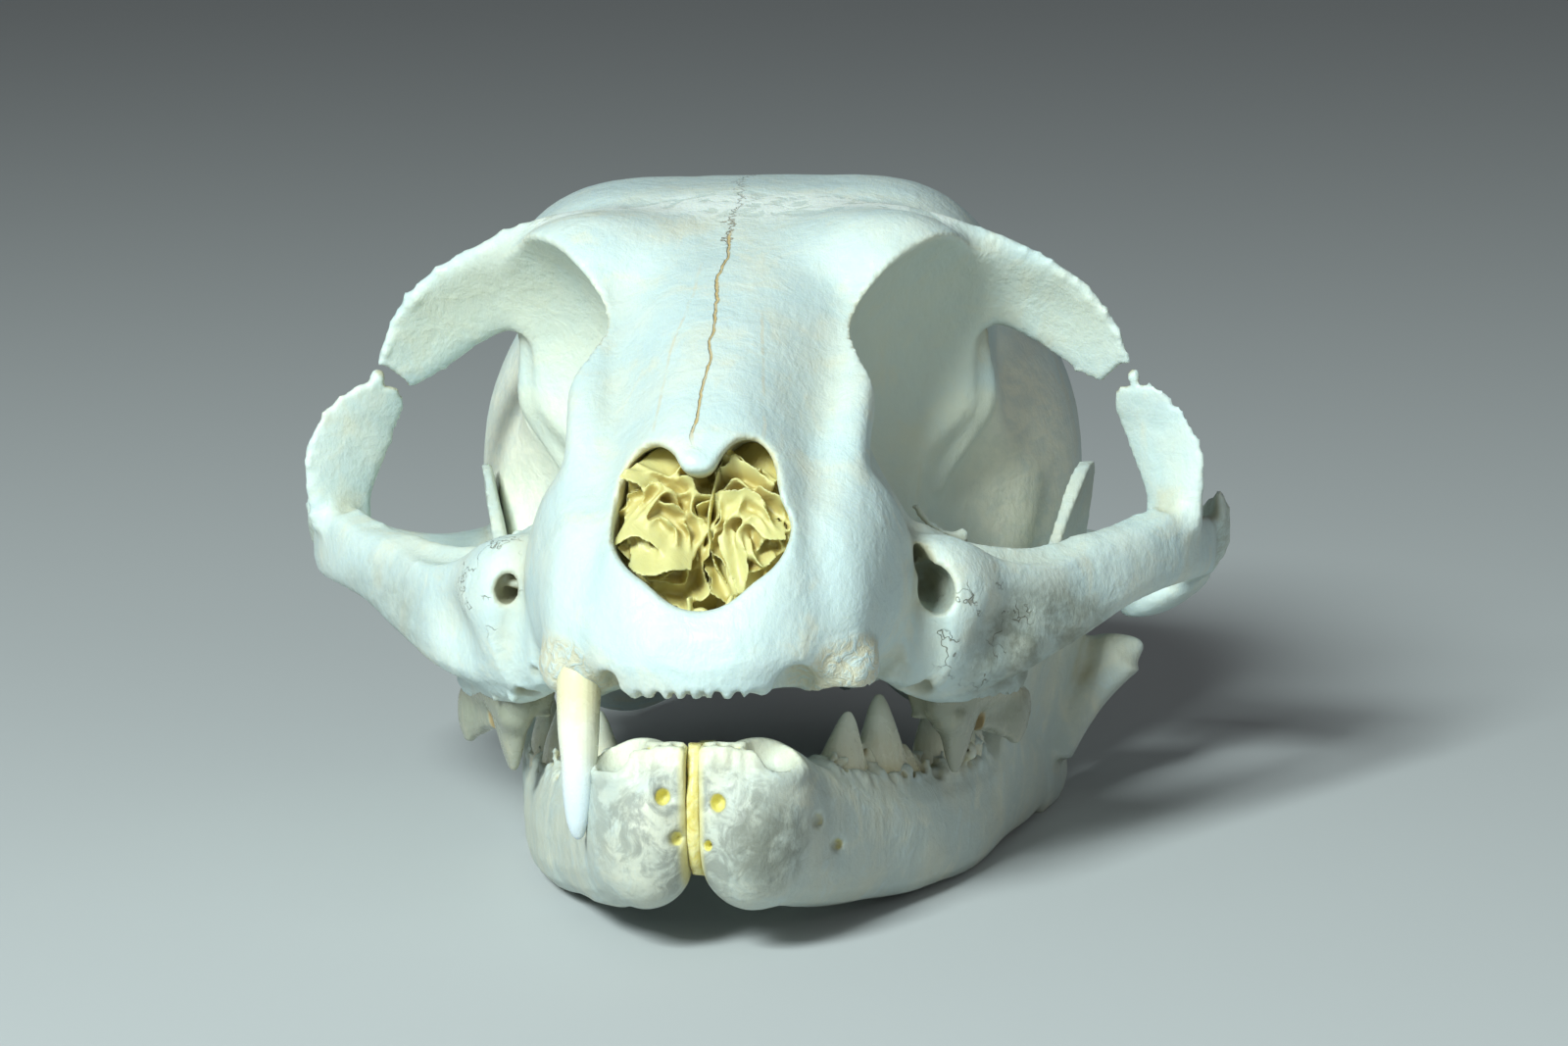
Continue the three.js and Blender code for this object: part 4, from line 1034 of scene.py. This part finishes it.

# %% [markdown]
# ## Finishes
# Clean bone is a cool white with a faint cast of blue where it is thin, and never even: fine fibres, grey
# clouds, hairline cracks and the lines where two bones meet. Its hollows are laid on darker and warmer, in
# cream and olive, as painted shade. All of it is worked out from where a point lies on the level skull. The
# Mapping node undoes the seat, so the nodes count in millimetres.

# %% A small kit for node trees
class Finish:
    def __init__(self, name, seat):
        self.material = bpy.data.materials.new(name)
        self.material.use_nodes = True
        self.tree = self.material.node_tree
        self.shader = self.tree.nodes["Principled BSDF"]
        turn_back = seat.inverted()
        location, rotation, scale = turn_back.decompose()
        place = self.node("ShaderNodeMapping")
        place.inputs["Location"].default_value = location
        place.inputs["Rotation"].default_value = rotation.to_euler()
        place.inputs["Scale"].default_value = scale
        self.join(self.node("ShaderNodeTexCoord").outputs["Object"], place.inputs["Vector"])
        self.mm = place.outputs["Vector"]
        split = self.node("ShaderNodeSeparateXYZ")
        self.join(self.mm, split.inputs[0])
        self.x, self.y, self.z = split.outputs

    def node(self, kind, **settings):
        made = self.tree.nodes.new(kind)
        for name, value in settings.items():
            setattr(made, name, value)
        return made

    def join(self, source, socket):
        if hasattr(source, "is_linked"):
            self.tree.links.new(source, socket)
        else:
            socket.default_value = source

    def maths(self, operation, *values, clamp=False):
        made = self.node("ShaderNodeMath", operation=operation, use_clamp=clamp)
        for value, socket in zip(values, made.inputs):
            self.join(value, socket)
        return made.outputs[0]

    def times(self, a, b):
        return self.maths("MULTIPLY", a, b)

    def ramp(self, value, low, high, to_low=0.0, to_high=1.0):
        """A soft step from one number to another as the value goes from low to high."""
        made = self.node("ShaderNodeMapRange", interpolation_type="SMOOTHSTEP")
        for number, socket in zip((value, low, high, to_low, to_high), made.inputs):
            self.join(number, socket)
        return made.outputs[0]

    def noise(self, size, detail=3.0, rough=0.55, stretch=(1, 1, 1), warp=0.0):
        """Noise whose lumps are about size millimetres across."""
        place = self.node("ShaderNodeMapping")
        place.inputs["Scale"].default_value = [1 / (size * part) for part in stretch]
        self.join(self.mm, place.inputs["Vector"])
        made = self.node("ShaderNodeTexNoise")
        made.inputs["Scale"].default_value = 1.0
        made.inputs["Detail"].default_value = detail
        made.inputs["Roughness"].default_value = rough
        made.inputs["Distortion"].default_value = warp
        self.join(place.outputs["Vector"], made.inputs["Vector"])
        return made.outputs["Fac"]

    def kept(self, name):
        return self.node("ShaderNodeAttribute", attribute_name=name).outputs["Fac"]

    def tint(self, share, under, over):
        made = self.node("ShaderNodeMix", data_type="RGBA")
        self.join(share, made.inputs["Factor"])
        for colour, socket in ((under, made.inputs["A"]), (over, made.inputs["B"])):
            self.join((*colour, 1) if isinstance(colour, tuple) else colour, socket)
        return made.outputs["Result"]

    def near(self, at, around, soft=0.5):
        """One at a place in the skull, fading to nothing at its radii."""
        squares = []
        for axis, middle, radius in zip((self.x, self.y, self.z), at, around):
            away = self.maths("DIVIDE", self.maths("SUBTRACT", axis, middle), radius)
            squares.append(self.times(away, away))
        far = self.maths("ADD", self.maths("ADD", squares[0], squares[1]), squares[2])
        return self.ramp(far, 1.0, 1.0 - soft)

    def near_both(self, at, around, soft=0.5):
        """The same place on the left and on the right."""
        x, y, z = at
        return self.maths("MAXIMUM", self.near(at, around, soft), self.near((-x, y, z), around, soft))

    def bumps(self, *rows):
        """Heights in millimetres, one bump after another."""
        last = None
        for height, depth in rows:
            made = self.node("ShaderNodeBump")
            made.inputs["Distance"].default_value = depth * MM
            made.inputs["Strength"].default_value = 1.0
            self.join(height, made.inputs["Height"])
            if last:
                self.join(last, made.inputs["Normal"])
            last = made.outputs["Normal"]
        self.join(last, self.shader.inputs["Normal"])

    def line(self, wander, width, *limits):
        """A thin line where wander is nothing, kept inside soft limits."""
        share = self.ramp(self.maths("ABSOLUTE", wander), width, width * 0.35)
        for limit in limits:
            share = self.times(share, limit)
        return share

# %% [markdown]
# The three seams that show from the front are lines on the level skull: the one between the two nasal
# bones, which goes on between the frontal bones, and a faint one on each side of the nose. Noise makes them
# wander, in wide bends and in tight zigzags. Cracks are the borders of large Voronoi cells, kept to the
# cheek where the thin bone broke. Several tints are painted light and shade, laid on by place whichever way
# the light falls. A cream in the sockets and a darker crown are painted shade, paler temples are painted
# light, and the darker cheek under the arches is part stain and part painted shade.

# %% Bone
def bone_finish(name, seat, of_head, under, over):
    f = Finish(name, seat)
    clouds = f.noise(7.0, 4.0, 0.6)
    blotches = f.noise(2.2, 4.0, 0.6, warp=0.6)
    grain = f.noise(0.45, 3.0, 0.6)
    fibres = f.noise(0.5, 3.0, 0.6, (1, 5, 2.5), 0.3)
    sunk = f.kept("sunk")
    colour = f.tint(f.ramp(clouds, 0.35, 0.7), under, over)
    colour = f.tint(f.ramp(blotches, 0.5, 0.72, 0.0, 0.5), colour, (0.50, 0.595, 0.60))
    colour = f.tint(f.ramp(f.noise(4.0, 4.0, 0.6, warp=0.8), 0.5, 0.7, 0.0, 0.5), colour,
                    (0.66, 0.65, 0.52))
    # Painted shade: the hollows are darkened towards cream and olive by how sunken each point lies.
    hollow = f.ramp(f.maths("ADD", sunk, f.times(f.maths("SUBTRACT", blotches, 0.5), 0.25)), 0.12, 0.8)
    colour = f.tint(f.times(hollow, 0.8), colour, (0.44, 0.41, 0.27))
    colour = f.tint(f.ramp(fibres, 0.58, 0.8, 0.0, 0.14), colour, (0.60, 0.56, 0.42))
    heights = [(clouds, 0.14), (blotches, 0.14), (fibres, 0.06), (grain, 0.045)]
    gloss = f.ramp(blotches, 0.3, 0.7, 0.42, 0.62)
    if of_head:
        colour, seams = head_marks(f, colour, blotches)
        heights.insert(0, (seams, 0.16))
    else:
        colour = jaw_marks(f, colour, blotches)
    f.join(colour, f.shader.inputs["Base Color"])
    f.join(gloss, f.shader.inputs["Roughness"])
    f.shader.inputs["Subsurface Weight"].default_value = 0.22
    f.shader.inputs["Subsurface Radius"].default_value = (1.0, 0.85, 0.6)
    f.shader.inputs["Subsurface Scale"].default_value = 0.9 * MM
    f.shader.inputs["Specular IOR Level"].default_value = 0.42
    f.bumps(*heights)
    return f.material


def head_marks(f, colour, blotches):
    slow = f.maths("SUBTRACT", f.noise(5.0, 2.0, 0.5), 0.5)
    quick = f.maths("SUBTRACT", f.noise(0.7, 2.0, 0.6), 0.5)
    bend = f.maths("ADD", f.times(slow, 1.4), f.times(quick, 0.25))
    on_top = f.ramp(f.z, 15.0, 17.0)
    middle = f.maths("ADD", f.maths("ADD", f.x, 0.65), bend)
    nasal = f.line(middle, 0.13, on_top, f.ramp(f.y, 30.0, 28.0), f.ramp(f.y, 4.0, 6.5))
    frontal_bend = f.maths("ADD", f.times(slow, 2.0), f.times(quick, 2.2))
    frontal = f.line(f.maths("ADD", f.maths("ADD", f.x, 0.9), frontal_bend), 0.16, f.ramp(f.y, 26.0, 28.0),
                     f.ramp(f.y, 64.0, 56.0), on_top)
    edge = f.maths("SUBTRACT", f.maths("ABSOLUTE", f.x), f.ramp(f.y, 5.0, 27.0, 3.6, 2.0))
    side_seam = f.line(f.maths("ADD", edge, f.times(bend, 0.7)), 0.16, f.ramp(f.y, 4.0, 8.0),
                       f.ramp(f.y, 26.0, 20.0), on_top)
    cells = f.node("ShaderNodeTexVoronoi", feature="DISTANCE_TO_EDGE")
    place = f.node("ShaderNodeMapping")
    place.inputs["Scale"].default_value = (0.24, 0.2, 0.24)
    f.join(f.mm, place.inputs["Vector"])
    shaken = f.node("ShaderNodeVectorMath", operation="ADD")
    f.join(place.outputs["Vector"], shaken.inputs[0])
    twist = f.node("ShaderNodeTexNoise")
    twist.inputs["Scale"].default_value = 0.8
    f.join(f.mm, twist.inputs["Vector"])
    f.join(twist.outputs["Color"], shaken.inputs[1])
    f.join(shaken.outputs["Vector"], cells.inputs["Vector"])
    cells.inputs["Scale"].default_value = 1.0
    cracked = f.maths("MAXIMUM", f.near((16.5, 22.0, 3.4), (4.4, 9.0, 4.6)),
                      f.near((-15.2, 19.5, 6.4), (3.4, 6.0, 4.6)))
    broken = f.ramp(f.noise(2.6, 2.0, 0.5), 0.48, 0.58)
    cracks = f.times(f.ramp(cells.outputs["Distance"], 0.017, 0.004), f.times(cracked, broken))
    brow = f.times(f.ramp(f.maths("SUBTRACT", f.z, f.times(f.y, 0.55)), 12.4, 13.4),
                   f.ramp(f.y, 40.0, 36.0))
    # Painted shade: the crown, which faces up, is laid on a darker blue grey, patchy with the blotches.
    painted_shade_on_crown = f.times(f.ramp(f.y, 37.5, 41.0), f.ramp(f.z, 30.0, 33.0))
    colour = f.tint(f.times(painted_shade_on_crown, f.ramp(blotches, 0.3, 0.6, 0.25, 0.7)), colour, (0.42, 0.51, 0.52))
    white = f.times(f.times(brow, f.ramp(blotches, 0.42, 0.5)), f.ramp(f.y, 30.0, 34.0))
    colour = f.tint(f.times(white, 0.8), colour, (0.76, 0.81, 0.77))
    spongy = f.noise(0.9, 3.0, 0.7, warp=1.0)
    sponge = f.near_both((8.4, 7.2, 1.4), (4.2, 4.4, 2.6))
    colour = f.tint(f.times(sponge, f.ramp(spongy, 0.62, 0.42)), colour, (0.60, 0.58, 0.44))
    # Painted shade: the eye sockets are laid on a cream tone, with less of it low down on their floors.
    painted_shade_in_socket = f.times(f.kept("socket"), f.times(f.ramp(f.z, 9.0, 17.0, 0.35, 1.0),
                                                          f.ramp(blotches, 0.3, 0.7, 0.6, 0.9)))
    colour = f.tint(painted_shade_in_socket, colour, (0.64, 0.67, 0.55))
    # Part stain and part painted shade: the cheek under each arch is darkened in streaks, twice as strongly
    # on one side as on the other.
    cheek_stain_and_shade = f.maths("MAXIMUM", f.near((20.5, 26.0, 2.0), (9.0, 13.0, 5.6), 0.8),
                          f.times(f.near((-24.0, 33.0, 4.0), (9.0, 12.0, 5.0), 0.8), 0.5))
    streaks = f.noise(1.1, 3.0, 0.6, (1.0, 3.5, 1.0), 0.4)
    colour = f.tint(f.times(cheek_stain_and_shade, f.ramp(streaks, 0.3, 0.7, 0.45, 0.9)), colour,
                    (0.20, 0.215, 0.17))
    # Painted light: the side walls of the braincase behind the sockets are laid on a paler cream.
    painted_light_on_temples = f.times(f.ramp(f.maths("ABSOLUTE", f.x), 13.0, 17.0),
                      f.near((0.0, 52.0, 15.0), (30, 13, 14), 0.5))
    colour = f.tint(f.times(painted_light_on_temples, f.ramp(streaks, 0.35, 0.65, 0.6, 1.0)), colour, (0.84, 0.84, 0.70))
    ear_tips = f.near_both((32.4, 49.0, 9.5), (2.6, 4.5, 3.6), 0.9)
    colour = f.tint(f.times(ear_tips, f.ramp(spongy, 0.35, 0.65, 0.2, 0.8)), colour, (0.33, 0.36, 0.30))
    floors = f.near_both((19.0, 37.0, 11.5), (7.5, 7.0, 4.6), 0.8)
    colour = f.tint(f.times(floors, f.ramp(f.noise(1.3, 4.0, 0.7, warp=2.0), 0.5, 0.62, 0.15, 0.6)), colour,
                    (0.50, 0.43, 0.26))
    colour = f.tint(f.times(f.kept("nose"), f.ramp(blotches, 0.3, 0.7, 0.75, 1.0)), colour,
                    (0.66, 0.54, 0.22))
    colour = f.tint(f.times(side_seam, f.ramp(blotches, 0.4, 0.6, 0.0, 0.35)), colour, (0.60, 0.47, 0.27))
    colour = f.tint(f.times(frontal, f.ramp(f.y, 34.0, 30.0, 0.25, 0.8)), colour, (0.30, 0.25, 0.18))
    colour = f.tint(f.times(nasal, f.ramp(blotches, 0.3, 0.55, 0.55, 1.0)), colour, (0.55, 0.41, 0.19))
    colour = f.tint(f.times(cracks, 0.7), colour, (0.17, 0.15, 0.11))
    marks = f.maths("MAXIMUM", f.maths("MAXIMUM", nasal, frontal), cracks)
    sponge_height = f.times(sponge, spongy)
    height = f.maths("SUBTRACT", f.times(sponge_height, 1.4), marks)
    height = f.maths("ADD", height, f.times(white, 0.12))
    return colour, height


def jaw_marks(f, colour, blotches):
    front = f.near((0.0, 5.0, -8.5), (8.5, 8.0, 6.5), 0.8)
    grey = f.ramp(f.noise(1.8, 4.0, 0.65, warp=0.8), 0.40, 0.60, 0.0, 0.8)
    colour = f.tint(f.times(front, grey), colour, (0.23, 0.245, 0.215))
    # Part stain and part painted shade: one side of the chin is darkened in blotches, low at its front.
    chin_stain_and_shade = f.times(f.near((4.6, 4.5, -10.0), (3.6, 5.0, 4.0), 0.9), f.ramp(blotches, 0.35, 0.6, 0.2, 0.8))
    colour = f.tint(chin_stain_and_shade, colour, (0.17, 0.18, 0.145))
    top = f.times(f.ramp(f.z, -6.0, -4.2), f.ramp(f.y, 9.0, 7.0))
    colour = f.tint(f.times(top, 0.6), colour, (0.76, 0.75, 0.58))
    holes = f.times(f.ramp(f.kept("sunk"), 0.42, 0.7), f.ramp(f.y, 13.0, 10.0))
    colour = f.tint(holes, colour, (0.72, 0.66, 0.22))
    slot = f.times(f.ramp(f.maths("ABSOLUTE", f.x), 1.0, 0.55), f.ramp(f.y, 16.0, 12.0))
    colour = f.tint(f.times(slot, 0.7), colour, (0.74, 0.68, 0.34))
    return colour


cranium.data.materials.append(bone_finish("bone", IN_HEAD, True, (0.52, 0.635, 0.63), (0.60, 0.665, 0.61)))
# Painted shade: the jaw's base colours are darker and greyer than the cranium's, because the jaw faces
# down.
jaw_bone = bone_finish("jaw_bone", IN_JAW, False, (0.45, 0.515, 0.485), (0.53, 0.55, 0.465))
for piece in jaws.values():
    piece.data.materials.append(jaw_bone)

# %% [markdown]
# Tooth enamel is glossier than bone and lets light in: ivory at the neck, bluish white towards the tip,
# with fine upright streaks, and browner where it lies sunk, as painted shade. The upper cheek teeth are
# darker and greyer than the others, part grey stain and part painted shade under the cheek. The thin leaves
# in the nose are a pale yellow that turns to a darker ochre further back and where they lie sunk, as
# painted shade. Dried gristle is amber.

# %% Enamel, thin bone and gristle
def enamel_finish(name, seat, root, body, tip):
    f = Finish(name, seat)
    streaks = f.noise(0.5, 3.0, 0.55, (1, 1, 7))
    clouds = f.noise(1.6, 3.0, 0.6)
    share = f.maths("ADD", f.kept("tip"), f.times(f.maths("SUBTRACT", clouds, 0.5), 0.3))
    colour = f.tint(f.ramp(share, 0.0, 0.35), root, body)
    colour = f.tint(f.ramp(share, 0.35, 0.95), colour, tip)
    colour = f.tint(f.ramp(streaks, 0.5, 0.75, 0.0, 0.18), colour, (0.62, 0.54, 0.36))
    # Painted shade: enamel is darkened brown where it lies sunk.
    colour = f.tint(f.times(f.ramp(f.kept("sunk"), 0.15, 0.8), 0.8), colour, (0.44, 0.33, 0.17))
    f.join(colour, f.shader.inputs["Base Color"])
    f.join(f.ramp(clouds, 0.3, 0.7, 0.2, 0.34), f.shader.inputs["Roughness"])
    f.shader.inputs["Subsurface Weight"].default_value = 0.35
    f.shader.inputs["Subsurface Radius"].default_value = (1.0, 0.85, 0.65)
    f.shader.inputs["Subsurface Scale"].default_value = 0.8 * MM
    f.shader.inputs["IOR"].default_value = 1.6
    f.bumps((streaks, 0.03), (clouds, 0.06))
    return f.material


def leaf_finish(name):
    f = Finish(name, IN_HEAD)
    clouds = f.noise(1.5, 4.0, 0.6, warp=0.5)
    # Painted shade: the leaves turn to a darker ochre further back in the nose and where they lie sunk.
    depth = f.maths("ADD", f.kept("deep"), f.times(f.maths("SUBTRACT", clouds, 0.5), 0.7))
    colour = f.tint(f.ramp(depth, 0.05, 0.9), (0.62, 0.57, 0.25), (0.55, 0.45, 0.14))
    colour = f.tint(f.times(f.ramp(f.kept("sunk"), 0.3, 1.0), 0.8), colour, (0.47, 0.36, 0.10))
    f.join(colour, f.shader.inputs["Base Color"])
    f.join(f.ramp(clouds, 0.3, 0.7, 0.4, 0.6), f.shader.inputs["Roughness"])
    f.shader.inputs["Subsurface Weight"].default_value = 0.4
    f.shader.inputs["Subsurface Radius"].default_value = (1.0, 0.8, 0.4)
    f.shader.inputs["Subsurface Scale"].default_value = 0.7 * MM
    f.bumps((clouds, 0.1), (f.noise(0.35, 2.0), 0.02))
    return f.material


def gristle_finish(name):
    f = Finish(name, IN_JAW)
    clouds = f.noise(1.2, 4.0, 0.6, warp=0.6)
    colour = f.tint(f.ramp(clouds, 0.35, 0.65), (0.62, 0.52, 0.15), (0.76, 0.70, 0.36))
    f.join(colour, f.shader.inputs["Base Color"])
    f.join(f.ramp(clouds, 0.3, 0.7, 0.25, 0.45), f.shader.inputs["Roughness"])
    f.shader.inputs["Subsurface Weight"].default_value = 0.4
    f.shader.inputs["Subsurface Radius"].default_value = (1.0, 0.75, 0.3)
    f.shader.inputs["Subsurface Scale"].default_value = 0.8 * MM
    f.bumps((clouds, 0.12), (f.noise(0.3, 2.0), 0.03))
    return f.material


thin_bone = leaf_finish("thin_bone")
canine_enamel = enamel_finish("canine_enamel", IN_HEAD, (0.74, 0.69, 0.46), (0.76, 0.76, 0.62),
                              (0.66, 0.74, 0.78))
# Part grey stain and part painted shade: the upper teeth get much darker, greyer enamel, as they sit in the
# cheek's shade.
upper_enamel = enamel_finish("upper_enamel", IN_HEAD, (0.36, 0.35, 0.25), (0.27, 0.285, 0.22),
                             (0.30, 0.31, 0.25))
lower_enamel = enamel_finish("lower_enamel", IN_JAW, (0.56, 0.51, 0.33), (0.66, 0.65, 0.51),
                             (0.68, 0.70, 0.60))
for piece in teeth:
    if piece.name == "canine_right":
        piece.data.materials.append(canine_enamel)
    elif piece.name.startswith(("cutting", "upper")):
        piece.data.materials.append(upper_enamel)
    else:
        piece.data.materials.append(lower_enamel)
for piece in (bpy.data.objects["nose_leaves_left"], bpy.data.objects["nose_leaves_right"], wall):
    piece.data.materials.append(thin_bone)
gristle.data.materials.append(gristle_finish("gristle"))

# %% [markdown]
# ## Light and camera
# A soft lamp stands high in front, a little to the viewer's left, and a weak one on the right keeps the
# far cheek readable. The floor is pale and matt. The plain display curve is used, because bone is nearly
# white all over and a curve that rolls off the highlights would take its faint tints away.

# %% Stage
CAMERA_AT = (36.1, -348.6, 10.5)
CAMERA_TURN = math.radians(5)
LENS = 127


def pointed(thing, at, towards):
    direction = Vector(towards) - Vector(at)
    thing.location = at
    thing.rotation_euler = direction.to_track_quat("-Z", "Y").to_euler()


camera = bpy.data.objects.new("camera", bpy.data.cameras.new("camera"))
bpy.context.scene.collection.objects.link(camera)
camera.data.lens = LENS
camera.data.sensor_width = 36
camera.data.clip_start = 0.01
camera_place = IN_HEAD @ Vector(CAMERA_AT)
facing = IN_HEAD.to_3x3().normalized()
turned = facing @ Matrix.Rotation(CAMERA_TURN, 3, "Z") @ Matrix.Rotation(math.radians(90), 3, "X")
camera.matrix_world = Matrix.Translation(camera_place) @ turned.to_4x4()
bpy.context.scene.camera = camera

form = bmesh.new()
bmesh.ops.create_grid(form, x_segments=2, y_segments=2, size=3)
mesh = bpy.data.meshes.new("floor")
form.to_mesh(mesh)
form.free()
floor = bpy.data.objects.new("floor", mesh)
bpy.context.scene.collection.objects.link(floor)
floor_paint = bpy.data.materials.new("floor_paint")
floor_paint.use_nodes = True
floor_paint.node_tree.nodes["Principled BSDF"].inputs["Base Color"].default_value = (0.5, 0.52, 0.53, 1)
floor_paint.node_tree.nodes["Principled BSDF"].inputs["Roughness"].default_value = 0.9
floor.data.materials.append(floor_paint)

world = bpy.data.worlds.new("studio")
bpy.context.scene.world = world
world.use_nodes = True
world.node_tree.nodes["Background"].inputs["Color"].default_value = (0.86, 0.9, 0.92, 1)
world.node_tree.nodes["Background"].inputs["Strength"].default_value = 0.12


def lamp(name, at, towards, size, power, colour):
    light = bpy.data.lights.new(name, "AREA")
    light.size = size
    light.energy = power
    light.color = colour
    thing = bpy.data.objects.new(name, light)
    bpy.context.scene.collection.objects.link(thing)
    pointed(thing, at, towards)


lamp("key", (-0.21, -0.55, 0.41), (0, 0, 0.02), 0.18, 7.3, (0.88, 1.0, 0.98))
lamp("fill", (0.42, -0.42, 0.16), (0, 0, 0.02), 0.4, 0.45, (0.95, 1.0, 0.97))
bpy.context.scene.view_settings.view_transform = "Standard"
bpy.context.scene.view_settings.look = "None"
